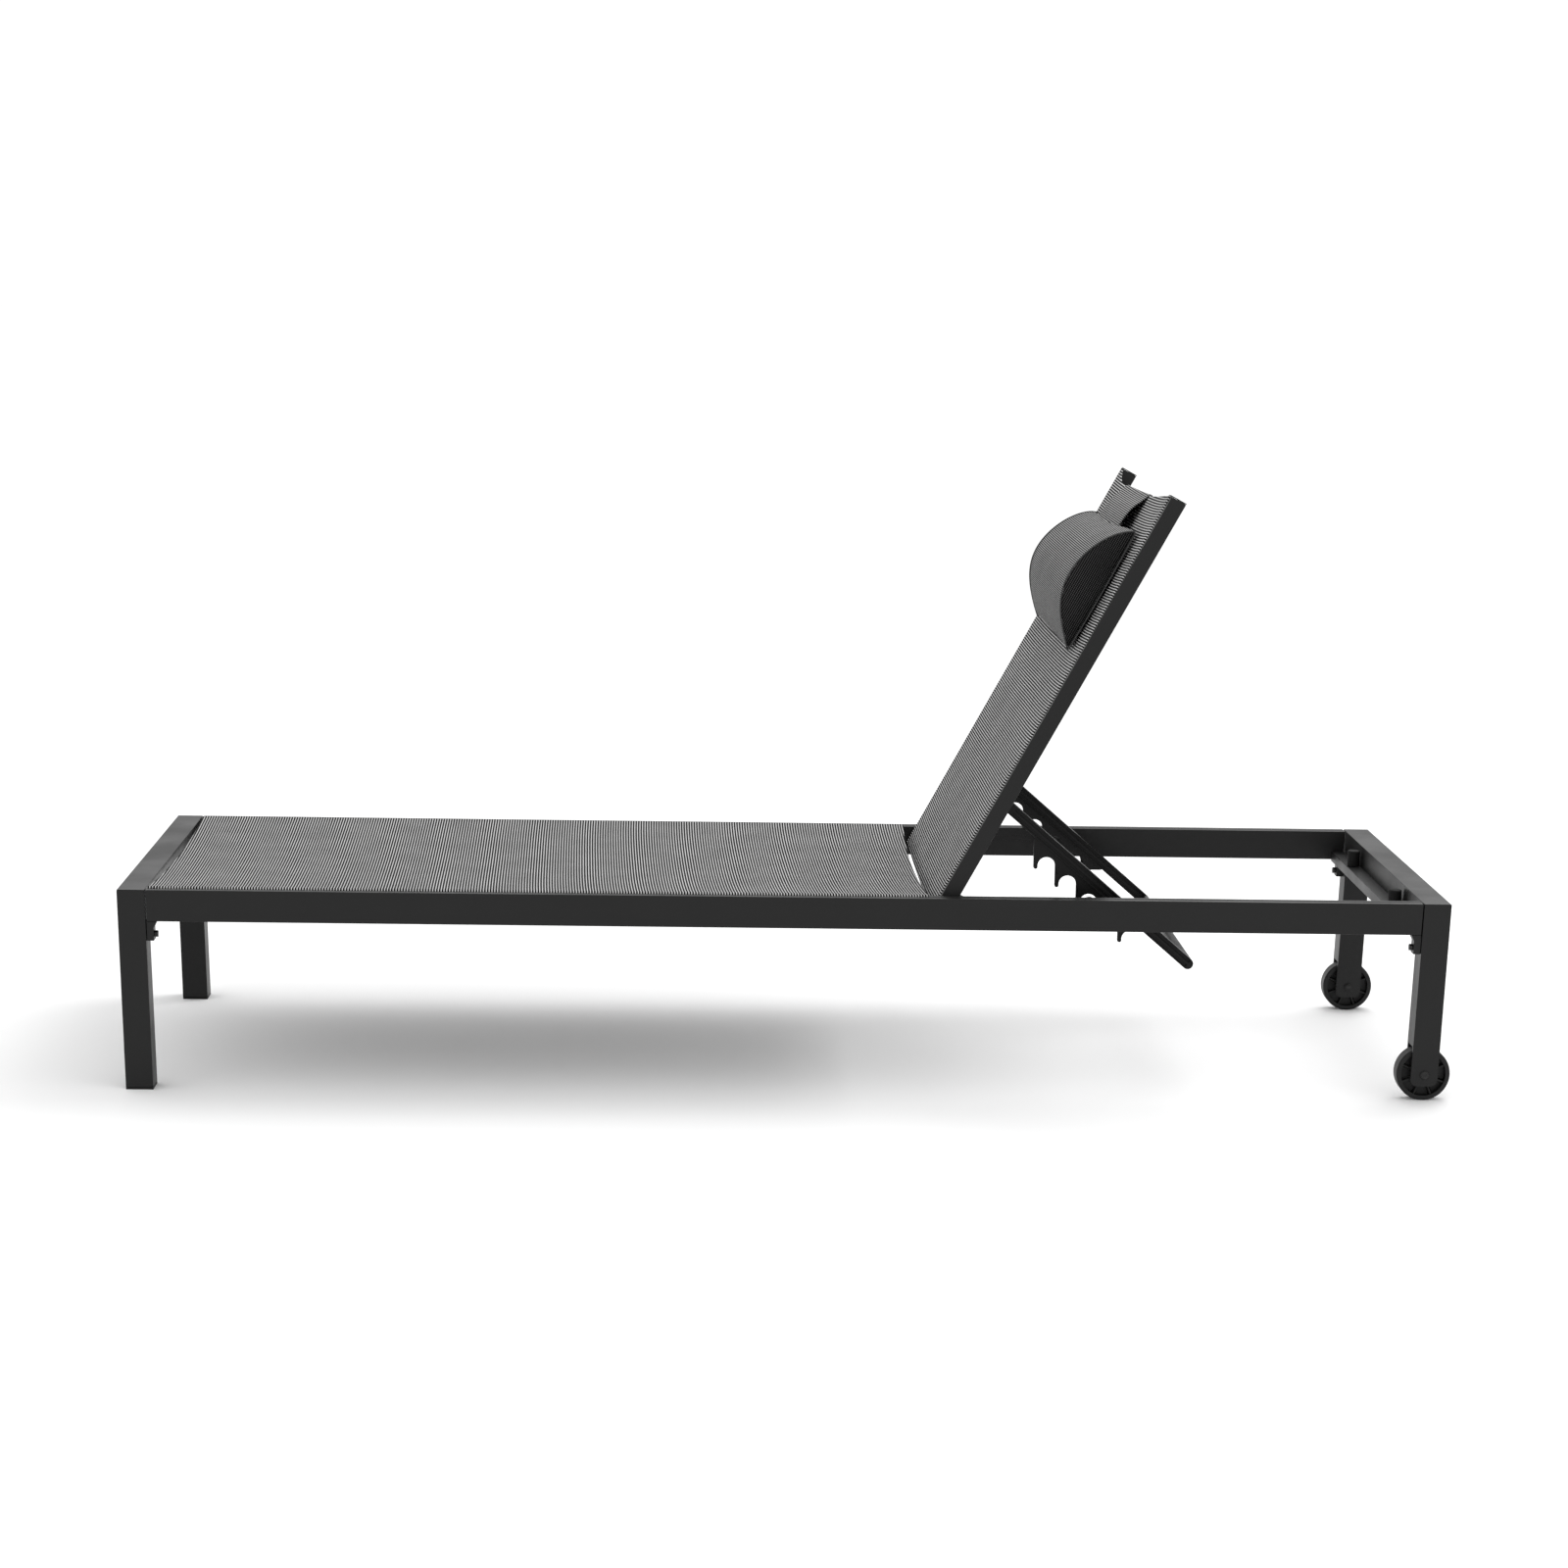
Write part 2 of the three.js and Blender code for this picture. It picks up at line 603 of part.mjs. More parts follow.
// Path of a sling across: up out of one channel, over the rail's face, down in a shallow sag and back.
// "slotY" is the channel's distance from the middle, "edgeY" the rail's inner edge.
function slingPath(slotY, edgeY, face) {
  const level = face + GAP + FABRIC / 2;
  const steps = 20;
  const half = [[slotY, face - CHANNEL_DEPTH + SPLINE_RADIUS + 2 * GAP], [slotY, level]];
  for (let i = 0; i <= steps / 2; i += 1) {
    const y = edgeY * (1 - i / (steps / 2));
    half.push([y, level - SLING_SAG * (1 - (y / edgeY) ** 2)]);
  }
  const mirrored = half.slice(0, -1).reverse().map(([y, z]) => [-y, z]);
  return [...half, ...mirrored].map(([y, z]) => [-y, z]);
}

const seatSpan = [TUBE + SEAT_START_GAP, SEAT_END_X];
const seatSlotY = HALF_WIDTH - RAIL_SLOT_FROM_OUTSIDE;
const seatSling = prismX(ribbon(slingPath(seatSlotY, railInside, HEIGHT), FABRIC), seatSpan);
piece('seat_sling', seatSling, 'textile');

for (const [side, sign] of sides) {
  const centre = [0, sign * seatSlotY, HEIGHT - CHANNEL_DEPTH];
  piece(`seat_spline_${side}`, rod(SPLINE_RADIUS, 'x', centre, seatSpan, 12), 'blackPlastic');
}

// ---------------------------------------------------------------- backrest
// In the backrest's own frame X runs up along it from the pivot, and Z points out of its front.

const backSlotY = backRailOutside - BACK_RAIL_SLOT_FROM_OUTSIDE;
const backSpan = [BACK_SLING_START, BACK_SLING_END];
const plugInset = BACK_RAIL_WALL + GAP;
const backHollowTop = BACK_RAIL_DEPTH - CHANNEL_DEPTH - CHANNEL_RADIUS - BACK_RAIL_WALL;

for (const [side, sign] of sides) {
  const section = channelSection(BACK_RAIL_WIDTH, BACK_RAIL_DEPTH, BACK_RAIL_WALL, BACK_RAIL_SLOT_FROM_OUTSIDE);
  const rail = prismX(section, [BACK_START, BACK_END]).translate([0, -backRailOutside, backRear]);
  piece(`backrest_rail_${side}`, mirrorY(rail, sign), 'powderCoat', backrest);

  const plugTongue = block(
    [BACK_END - PLUG_DEPTH, BACK_END + GAP + PLUG_FLANGE],
    [-backRailOutside + plugInset, -backRailInside - plugInset],
    [backRear + plugInset, backRear + backHollowTop - GAP],
  );
  const plugFlange = block(
    [BACK_END + GAP, BACK_END + GAP + PLUG_FLANGE],
    [-backRailOutside, -backRailInside],
    [backRear, backFront],
  );
  piece(`backrest_end_plug_${side}`, mirrorY(plugTongue.add(plugFlange), sign), 'blackPlastic', backrest);

  // Pivot bracket: a lug behind the rail's lower end, with the pivot hole in its boss.
  const seat = backRear - GAP;
  const lug = new THREE.Shape();
  lug.moveTo(BACK_START, seat);
  lug.lineTo(-PIVOT_BOSS_RADIUS, 0);
  lug.absarc(0, 0, PIVOT_BOSS_RADIUS, Math.PI, 2 * Math.PI);
  lug.lineTo(PIVOT_BOSS_RADIUS, PIVOT_BRACKET_REACH);
  lug.lineTo(PIVOT_BRACKET_REACH, seat);
  lug.closePath();
  const pivotBore = rod(PIVOT_RADIUS + FIT, 'y', [0, 0, 0], [-WIDTH, WIDTH]);
  const bracket = prismY(lug, [-backRailOutside, -backRailInside]).subtract(pivotBore);
  piece(`backrest_pivot_bracket_${side}`, mirrorY(bracket, sign), 'powderCoat', backrest);

  const splineCentre = [0, sign * backSlotY, backFront - CHANNEL_DEPTH];
  piece(`backrest_spline_${side}`, rod(SPLINE_RADIUS, 'x', splineCentre, backSpan, 12), 'blackPlastic', backrest);
}

const upperBarEnd = BACK_END - UPPER_BAR_FROM_END;
const upperBar = crossTube(
  [upperBarEnd - UPPER_BAR_WIDTH, upperBarEnd],
  [backRear, backRear + UPPER_BAR_DEPTH],
  backRailInside - GAP,
  tubeWall,
);
piece('backrest_upper_bar', upperBar, 'powderCoat', backrest);

const lowerBarReach = backRailInside - GAP;
const lowerBarCentre = [PROP_HINGE_ALONG, 0, PROP_HINGE_OFFSET];
const lowerBar = rod(PROP_BAR_RADIUS, 'y', lowerBarCentre, [-lowerBarReach, lowerBarReach]);
piece('backrest_lower_bar', lowerBar, 'powderCoat', backrest);

const backSling = prismX(ribbon(slingPath(backSlotY, backRailInside, backFront), FABRIC), backSpan);
piece('backrest_sling', backSling, 'textile', backrest);

// Pivot pins: each stands in the side rail's inner wall and carries a washer and the pivot bracket.
for (const [side, sign] of sides) {
  const centre = [PIVOT_X, 0, pivotZ];
  const headInside = railInside + RAIL_WALL + GAP;
  const pin = turned([
    [0, backRailInside],
    [PIVOT_RADIUS, backRailInside],
    [PIVOT_RADIUS, headInside],
    [PIVOT_HEAD_RADIUS, headInside],
    [PIVOT_HEAD_RADIUS, headInside + PIVOT_HEAD],
    [0, headInside + PIVOT_HEAD],
  ], 'y', centre);
  piece(`pivot_pin_${side}`, mirrorY(pin, -sign), 'steel');

  const washerSpan = [backRailOutside + GAP, railInside - GAP];
  const washer = turned([
    [PIVOT_RADIUS + FIT, washerSpan[0]],
    [PIVOT_BOSS_RADIUS, washerSpan[0]],
    [PIVOT_BOSS_RADIUS, washerSpan[1]],
    [PIVOT_RADIUS + FIT, washerSpan[1]],
    [PIVOT_RADIUS + FIT, washerSpan[0]],
  ], 'y', centre);
  piece(`pivot_washer_${side}`, mirrorY(washer, -sign), 'blackPlastic');
}

// ---------------------------------------------------------------- prop and its pegs
// The prop's frame stands at its hinge and keeps the lounger's directions while the prop is hooked on.

// A point given along the arm and across it.
function onArm(along, across) {
  return [
    along * Math.cos(PROP_TILT) + across * Math.sin(PROP_TILT),
    across * Math.cos(PROP_TILT) - along * Math.sin(PROP_TILT),
  ];
}

// Toothed plate: upright teeth with round arches between them, open downwards.
function hookPlate() {
  const stepX = HOOK_PITCH * Math.cos(PROP_TILT);
  const tooth = stepX - 2 * HOOK_ARCH_RADIUS;
  const tipRadius = tooth / 2;
  const outline = new THREE.Shape();
  const [firstX] = onArm(HOOK_FIRST, -HOOK_AXIS_DROP);
  const leftX = firstX - HOOK_ARCH_RADIUS - tooth;
  const startAlong = leftX / Math.cos(PROP_TILT);
  outline.moveTo(...onArm(startAlong, 0));
  for (let i = 0; i < HOOK_COUNT; i += 1) {
    const [archX, archZ] = onArm(HOOK_FIRST + i * HOOK_PITCH, -HOOK_AXIS_DROP);
    const tipX = archX - HOOK_ARCH_RADIUS - tipRadius;
    const tipZ = archZ - HOOK_TIP_DROP + tipRadius;
    outline.lineTo(tipX - tipRadius, tipZ);
    outline.absarc(tipX, tipZ, tipRadius, Math.PI, 2 * Math.PI);
    const last = i === HOOK_COUNT - 1;
    outline.absarc(archX, archZ, HOOK_ARCH_RADIUS, Math.PI, last ? Math.PI / 2 : 0, true);
  }
  const [lastX, lastZ] = onArm(HOOK_FIRST + (HOOK_COUNT - 1) * HOOK_PITCH, -HOOK_AXIS_DROP);
  const endAlong = (lastX + 2 * HOOK_ARCH_RADIUS) / Math.cos(PROP_TILT);
  outline.lineTo(lastX + HOOK_ARCH_RADIUS, lastZ + HOOK_ARCH_RADIUS);
  outline.lineTo(...onArm(endAlong, 0));
  outline.closePath();
  return outline;
}

// One arm: grooved bar with a round end, a knuckle on the backrest's lower bar, and the hooks.
function propArm() {
  const half = PROP_ARM_DEPTH / 2;
  const ySpan = [-armOutside, -armInside];
  const midY = -(armOutside + armInside) / 2;
  const outline = new THREE.Shape();
  outline.moveTo(0, half);
  outline.lineTo(0, -half);
  outline.absarc(PROP_ARM_LENGTH - half, 0, half, -Math.PI / 2, Math.PI / 2);
  outline.closePath();
  let bar = prismY(outline, ySpan);
  const grooveSpan = [PROP_KNUCKLE_RADIUS + half, PROP_ARM_LENGTH - half];
  for (const grooveZ of [half / 2, -half / 2]) {
    const zSpan = [grooveZ - PROP_GROOVE_WIDTH / 2, grooveZ + PROP_GROOVE_WIDTH / 2];
    for (const faceY of ySpan) {
      bar = bar.subtract(block(grooveSpan, [faceY - PROP_GROOVE_DEPTH, faceY + PROP_GROOVE_DEPTH], zSpan));
    }
  }
  const tilted = bar.rotate([0, THREE.MathUtils.radToDeg(PROP_TILT), 0]);
  const hooks = prismY(hookPlate(), [midY - HOOK_PLATE / 2, midY + HOOK_PLATE / 2], 10);
  const knuckle = rod(PROP_KNUCKLE_RADIUS, 'y', [0, 0, 0], ySpan);
  const bore = rod(PROP_BAR_RADIUS + FIT, 'y', [0, 0, 0], [-armOutside - 1, -armInside + 1]);
  return tilted.add(hooks).add(knuckle).subtract(bore);
}

for (const [side, sign] of sides) {
  piece(`prop_arm_${side}`, mirrorY(propArm(), sign), 'blackPlastic', prop);
}

const [propEndX, propEndZ] = onArm(PROP_ARM_LENGTH - PROP_ARM_DEPTH / 2, 0);
const propBarReach = armInside - GAP;
const propBarRadius = PROP_ARM_DEPTH / 2;
const propEndBar = rod(propBarRadius, 'y', [propEndX, 0, propEndZ], [-propBarReach, propBarReach], 24);
piece('prop_end_bar', propEndBar, 'blackPlastic', prop);

// Pegs: a steel pin through the side rail's inner wall with a plastic sleeve; each ends beside the
// arm's plane, so the arm passes it freely.
for (const [side, sign] of sides) {
  const centre = [pegX, 0, pegZ];
  const pinEnd = armOutside + PEG_ARM_CLEARANCE;
  const sleeveEnd = pinEnd + PEG_HEAD + GAP;
  const sleeve = turned([
    [PEG_PIN_RADIUS + FIT, sleeveEnd],
    [PEG_RADIUS, sleeveEnd],
    [PEG_RADIUS, railInside - GAP],
    [PEG_PIN_RADIUS + FIT, railInside - GAP],
    [PEG_PIN_RADIUS + FIT, sleeveEnd],
  ], 'y', centre);
  piece(`hook_peg_sleeve_${side}`, mirrorY(sleeve, -sign), 'blackPlastic');

  const pin = turned([
    [0, pinEnd],
    [PEG_HEAD_RADIUS - 1, pinEnd],
    [PEG_HEAD_RADIUS, pinEnd + 1],
    [PEG_HEAD_RADIUS, pinEnd + PEG_HEAD],
    [PEG_PIN_RADIUS, pinEnd + PEG_HEAD],
    [PEG_PIN_RADIUS, railInside + RAIL_WALL],
    [0, railInside + RAIL_WALL],
  ], 'y', centre);
  piece(`hook_peg_pin_${side}`, mirrorY(pin, -sign), 'steel');
}

// ---------------------------------------------------------------- headrest

const strapLevel = backFront + 2 * GAP + STRAP_THICKNESS / 2;
const strapRear = backRear - STRAP_CLEARANCE - STRAP_THICKNESS / 2;
const strapReturn = backRear + UPPER_BAR_DEPTH + STRAP_CLEARANCE + STRAP_THICKNESS / 2;
const strapUnder = upperBarEnd - UPPER_BAR_WIDTH - STRAP_CLEARANCE - STRAP_THICKNESS / 2;
const pillowBack = strapLevel + STRAP_THICKNESS / 2 + STRAP_CLEARANCE;

// D-shaped bolster, flat where it lies against the backrest.
function pillowOutline() {
  const centre = PILLOW_START + PILLOW_HEIGHT / 2;
  const outline = new THREE.Shape();
  outline.moveTo(centre + PILLOW_HEIGHT / 2, pillowBack);
  outline.absellipse(centre, pillowBack, PILLOW_HEIGHT / 2, PILLOW_DEPTH, 0, Math.PI);
  outline.closePath();
  return outline;
}

const pillowSpan = [PILLOW_CENTRE_Y - PILLOW_LENGTH / 2, PILLOW_CENTRE_Y + PILLOW_LENGTH / 2];
piece('headrest_pillow', prismY(pillowOutline(), pillowSpan, 24), 'cushion', backrest);

const strapSpan = [STRAP_CENTRE_Y - STRAP_WIDTH / 2, STRAP_CENTRE_Y + STRAP_WIDTH / 2];
const strapTop = BACK_SLING_END + STRAP_OVER;
const strapPath = [
  [STRAP_START, strapLevel],
  [BACK_SLING_END, strapLevel],
  [strapTop - 2, strapLevel - 4],
  [strapTop, (strapLevel + strapRear) / 2],
  [strapTop - 4, strapRear + 4],
  [strapTop - STRAP_OVER, strapRear],
  [strapUnder, strapRear],
  [strapUnder, strapReturn],
  [strapUnder + STRAP_RETURN, strapReturn],
];
piece('headrest_strap', prismY(ribbon(strapPath, STRAP_THICKNESS), strapSpan), 'cushion', backrest);

export default lounger;
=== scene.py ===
"""Looks of a reclining sun lounger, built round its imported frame.

Lengths are metres. X runs from the foot end to the head end, Z is up, and the origin is on the
floor under the middle of the lounger. Left is -Y. A "board" is the flat plane of the seat or of
the backrest: "along" runs up it towards the head and "out" stands square on its face.
"""

import json
import logging
import math
from dataclasses import dataclass, field
from enum import Enum
from typing import Callable, Optional

import bpy
import numpy as np
from mathutils import Matrix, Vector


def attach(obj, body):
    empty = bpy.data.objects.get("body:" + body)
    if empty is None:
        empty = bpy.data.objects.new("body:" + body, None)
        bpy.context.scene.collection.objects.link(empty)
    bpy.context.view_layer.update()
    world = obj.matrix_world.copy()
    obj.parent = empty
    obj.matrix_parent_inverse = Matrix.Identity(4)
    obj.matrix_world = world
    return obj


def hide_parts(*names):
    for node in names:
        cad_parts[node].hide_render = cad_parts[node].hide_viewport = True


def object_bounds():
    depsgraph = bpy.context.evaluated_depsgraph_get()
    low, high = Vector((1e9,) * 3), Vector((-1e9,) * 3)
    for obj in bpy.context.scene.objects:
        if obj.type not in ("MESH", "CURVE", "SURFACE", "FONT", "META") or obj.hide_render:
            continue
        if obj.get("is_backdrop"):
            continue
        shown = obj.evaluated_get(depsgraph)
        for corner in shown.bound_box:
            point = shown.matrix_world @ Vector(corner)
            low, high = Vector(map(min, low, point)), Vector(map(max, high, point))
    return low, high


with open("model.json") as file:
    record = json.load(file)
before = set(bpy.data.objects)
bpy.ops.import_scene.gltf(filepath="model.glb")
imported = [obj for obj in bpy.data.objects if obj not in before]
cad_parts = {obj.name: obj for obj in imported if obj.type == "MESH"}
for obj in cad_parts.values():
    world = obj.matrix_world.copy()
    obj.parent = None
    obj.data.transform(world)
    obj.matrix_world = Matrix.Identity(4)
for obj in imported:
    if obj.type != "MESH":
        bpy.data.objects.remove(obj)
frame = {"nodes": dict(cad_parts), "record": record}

LOG = logging.getLogger("sun_lounger")
MM = 0.001


class Side(Enum):
    """The two sides of the lounger, as the sign of Y."""

    LEFT = -1
    RIGHT = 1


class Edge(Enum):
    """How much the edges of a hard piece are rounded, in metres."""

    TUBE = 0.9 * MM
    MOULDED = 0.45 * MM
    SMALL = 0.25 * MM


# ------------------------------------------------------------------ meshes from grids


def grid_object(
    name: str,
    points: np.ndarray,
    uv: Optional[np.ndarray] = None,
    round_rows: bool = False,
    round_columns: bool = False,
    caps: bool = False,
) -> bpy.types.Object:
    """Makes a smooth mesh object of a grid of points.

    Neighbouring points of the grid are joined by four-sided faces.

    Args:
        name: The object's name.
        points: Positions, as rows x columns x 3.
        uv: Cloth coordinates in metres, as rows x columns x 2, for an open grid.
        round_rows: The last row joins the first.
        round_columns: The last column joins the first.
        caps: The first and last rows are closed by a flat face.

    Returns:
        The new object.
    """
    rows, columns = points.shape[:2]
    i = np.arange(rows if round_rows else rows - 1)[:, None]
    j = np.arange(columns if round_columns else columns - 1)[None, :]
    here, there = i * columns, ((i + 1) % rows) * columns
    left, right = j, (j + 1) % columns
    quads = np.stack([here + left, here + right, there + right, there + left], -1).reshape(-1, 4)
    faces = quads.tolist()
    if caps:
        faces.append(list(range(columns))[::-1])
        faces.append(list(range((rows - 1) * columns, rows * columns)))
    mesh = bpy.data.meshes.new(name)
    mesh.from_pydata(points.reshape(-1, 3).tolist(), [], faces)
    if uv is not None:
        layer = mesh.uv_layers.new(name="cloth")
        layer.uv.foreach_set("vector", uv.reshape(-1, 2)[quads.ravel()].astype(np.float32).ravel())
    mesh.polygons.foreach_set("use_smooth", np.ones(len(mesh.polygons), bool))
    mesh.update()
    obj = bpy.data.objects.new(name, mesh)
    bpy.context.scene.collection.objects.link(obj)
    return obj


def inside_out(rings: np.ndarray) -> bool:
    """Says whether the faces between rings of points look inwards.

    The volume under each face's two triangles is a · (b × c); the sum is negative if they do.

    Args:
        rings: Positions, as rings x points x 3, each ring closed.

    Returns:
        True if the faces have to be turned round.
    """
    a, d = rings[:-1].reshape(-1, 3), rings[1:].reshape(-1, 3)
    turned = np.roll(rings, -1, 1)
    b, c = turned[:-1].reshape(-1, 3), turned[1:].reshape(-1, 3)
    volume = np.einsum("ij,ij->", a, np.cross(b, c)) + np.einsum("ij,ij->", a, np.cross(c, d))
    return float(volume) < 0


def hoop(name: str, path: np.ndarray, radius: float, sides: int = 10) -> bpy.types.Object:
    """Carries a circle round a closed, nearly flat path.

    At each point the circle stands square to the path: it is cos(a) times the vector in the
    path's plane plus sin(a) times the one square to both.

    Args:
        name: The object's name.
        path: Points along the middle, n x 3.
        radius: Half the thickness.
        sides: Sides of the circle.

    Returns:
        The new object.
    """
    along = np.roll(path, -1, 0) - np.roll(path, 1, 0)
    along /= np.linalg.norm(along, axis=1, keepdims=True)
    flat_normal = np.linalg.svd(path - path.mean(0), full_matrices=False)[2][2]
    first = np.cross(along, flat_normal)
    first /= np.linalg.norm(first, axis=1, keepdims=True)
    second = np.cross(along, first)
    angle = np.linspace(0, 2 * np.pi, sides, endpoint=False)
    cos, sin = np.cos(angle)[None, :, None], np.sin(angle)[None, :, None]
    points = path[:, None] + radius * (cos * first[:, None] + sin * second[:, None])
    if inside_out(points):
        points = points[:, ::-1]
    return grid_object(name, points, round_rows=True, round_columns=True)


def node_points(node: str) -> np.ndarray:
    """Returns the corners of a CAD node at rest, n x 3."""
    mesh = frame["nodes"][node].data
    flat = np.empty(len(mesh.vertices) * 3)
    mesh.vertices.foreach_get("co", flat)
    return flat.reshape(-1, 3)


@dataclass(frozen=True)
class Board:
    """The plane of the seat or of the backrest, through a point and at a tilt about Y."""

    x: float
    z: float
    tilt: float

    def place(self, along: np.ndarray, y: np.ndarray, out: np.ndarray) -> np.ndarray:
        """Turns board coordinates into positions.

        Args:
            along: Distance up the board.
            y: Distance to the right.
            out: Distance off the board's face side.

        Returns:
            Positions, with a last axis of 3.
        """
        along, y, out = np.broadcast_arrays(along, y, out)
        x = self.x + along * math.cos(self.tilt) - out * math.sin(self.tilt)
        z = self.z + along * math.sin(self.tilt) + out * math.cos(self.tilt)
        return np.stack([x, y, z], -1)

    def read(self, points: np.ndarray) -> np.ndarray:
        """Turns positions into (along, y, out), with the same shape."""
        dx, dz = points[..., 0] - self.x, points[..., 2] - self.z
        along = dx * math.cos(self.tilt) + dz * math.sin(self.tilt)
        out = dz * math.cos(self.tilt) - dx * math.sin(self.tilt)
        return np.stack([along, points[..., 1], out], -1)

    def extent(self, node: str) -> tuple[np.ndarray, np.ndarray]:
        """Returns a CAD node's lowest and highest (along, y, out)."""
        local = self.read(node_points(node))
        return local.min(0), local.max(0)


def ease(x: np.ndarray, start: float, end: float) -> np.ndarray:
    """Returns a smooth step from 0 at start to 1 at end: 3t² - 2t³."""
    t = np.clip((x - start) / (end - start), 0, 1)
    return t * t * (3 - 2 * t)


# ------------------------------------------------------------------ finishes


class Shader:
    """The node tree of one material, with short calls for its nodes."""

    def __init__(self, name: str) -> None:
        """Starts a material with a Principled shader.

        Args:
            name: The material's name.
        """
        self.material = bpy.data.materials.new(name)
        self.material.use_nodes = True
        self.tree = self.material.node_tree
        self.surface = self.tree.nodes["Principled BSDF"]

    def add(self, kind: str, **values: object) -> bpy.types.Node:
        """Adds a node and sets its properties.

        Args:
            kind: The node's type.
            **values: Properties of the node.

        Returns:
            The node.
        """
        node = self.tree.nodes.new(kind)
        for key, value in values.items():
            setattr(node, key, value)
        return node

    def feed(self, socket: bpy.types.NodeSocket, value: object) -> None:
        """Links a socket to another one, or sets it to a number or colour."""
        if isinstance(value, bpy.types.NodeSocket):
            self.tree.links.new(value, socket)
        else:
            socket.default_value = value

    def calc(self, operation: str, a: object, b: object = 0.0) -> bpy.types.NodeSocket:
        """Returns the result of a Math node on one or two values."""
        node = self.add("ShaderNodeMath", operation=operation)
        for socket, value in zip(node.inputs, (a, b)):
            self.feed(socket, value)
        return node.outputs[0]

    def step(
        self, value: object, low: float, high: float, to_low: float = 0.0, to_high: float = 1.0
    ) -> bpy.types.NodeSocket:
        """Returns a value eased from to_low at low to to_high at high."""
        node = self.add("ShaderNodeMapRange", interpolation_type="SMOOTHSTEP")
        for socket, number in zip(node.inputs, (value, low, high, to_low, to_high)):
            self.feed(socket, number)
        return node.outputs[0]

    def blend(self, share: object, a: object, b: object) -> bpy.types.NodeSocket:
        """Returns colour a where share is 0 and colour b where it is 1."""
        node = self.add("ShaderNodeMix", data_type="RGBA")
        self.feed(node.inputs[0], share)
        self.feed(node.inputs[6], a)
        self.feed(node.inputs[7], b)
        return node.outputs[2]

    def noise(self, vector: object, scale: float, detail: float = 2.0) -> bpy.types.NodeSocket:
        """Returns a noise value round 0.5, with a scale in cells per metre."""
        node = self.add("ShaderNodeTexNoise")
        self.feed(node.inputs["Vector"], vector)
        node.inputs["Scale"].default_value = scale
        node.inputs["Detail"].default_value = detail
        return node.outputs[0]

    def place(self) -> bpy.types.NodeSocket:
        """Returns the position on the object."""
        return self.add("ShaderNodeTexCoord").outputs["Object"]

    def cloth(self) -> tuple[bpy.types.NodeSocket, bpy.types.NodeSocket, bpy.types.NodeSocket]:
        """Returns the cloth coordinates as a vector, and its two parts, in metres."""
        vector = self.add("ShaderNodeUVMap", uv_map="cloth").outputs[0]
        parts = self.add("ShaderNodeSeparateXYZ")
        self.feed(parts.inputs[0], vector)
        return vector, parts.outputs[0], parts.outputs[1]

    def wave(self, value: object, pitch: float) -> bpy.types.NodeSocket:
        """Returns a sine of the value that repeats every pitch."""
        return self.calc("SINE", self.calc("MULTIPLY", value, 2 * math.pi / pitch))

    def relief(self, height: object, depth: float, under: object = None) -> bpy.types.NodeSocket:
        """Returns a normal that a height of 0 to 1 raises by depth.

        Args:
            height: The height.
            depth: How high a height of 1 stands, in metres.
            under: A coarser relief that this one lies on.

        Returns:
            The normal socket.
        """
        node = self.add("ShaderNodeBump")
        node.inputs["Strength"].default_value = 1.0
        node.inputs["Distance"].default_value = depth
        self.feed(node.inputs["Height"], height)
        if under is not None:
            self.feed(node.inputs["Normal"], under)
        return node.outputs[0]

    def finish(
        self, colour: object, roughness: object, normal: object, **fixed: float
    ) -> bpy.types.Material:
        """Feeds the Principled shader.

        Args:
            colour: Base colour.
            roughness: Roughness.
            normal: Normal, or None.
            **fixed: Other sockets by name, with _ for a space, as plain numbers.

        Returns:
            The material.
        """
        self.feed(self.surface.inputs["Base Color"], colour)
        self.feed(self.surface.inputs["Roughness"], roughness)
        if normal is not None:
            self.feed(self.surface.inputs["Normal"], normal)
        for key, value in fixed.items():
            self.surface.inputs[key.replace("_", " ")].default_value = value
        return self.material


def grey(value: float, warm: float = 0.0) -> tuple[float, float, float, float]:
    """Returns a grey, a little warm or cool."""
    return (value * (1 + warm), value, value * (1 - warm), 1.0)


@dataclass(frozen=True)
class PowderCoat:
    """Fine-textured powder coat: tiny bumps, faint clouds in its gloss."""

    name: str
    tone: float
    roughness: float
    grain: float = 1.1 * MM
    depth: float = 0.035 * MM
    gloss: float = 0.22

    def make(self) -> bpy.types.Material:
        """Returns the material."""
        s = Shader(self.name)
        place = s.place()
        clouds = s.noise(place, 9.0, 3.0)
        specks = s.noise(place, 1 / self.grain, 1.0)
        colour = s.blend(s.step(specks, 0.35, 0.7), grey(self.tone * 0.86), grey(self.tone * 1.16))
        rough = s.step(clouds, 0.3, 0.7, self.roughness - 0.04, self.roughness + 0.05)
        return s.finish(colour, rough, s.relief(specks, self.depth), Specular_IOR_Level=self.gloss)


@dataclass(frozen=True)
class Moulding:
    """Moulded plastic or rubber: fine spark-eroded grain, soft flow clouds, dull or glossy."""

    name: str
    tone: float
    roughness: float
    grain: float = 0.7 * MM
    depth: float = 0.02 * MM
    gloss: float = 0.5

    def make(self) -> bpy.types.Material:
        """Returns the material."""
        s = Shader(self.name)
        place = s.place()
        flow = s.noise(place, 30.0, 3.0)
        grain = s.noise(place, 1 / self.grain, 2.0)
        colour = s.blend(flow, grey(self.tone * 0.8), grey(self.tone * 1.25))
        rough = s.step(flow, 0.25, 0.75, self.roughness - 0.05, self.roughness + 0.06)
        return s.finish(colour, rough, s.relief(grain, self.depth), Specular_IOR_Level=self.gloss)


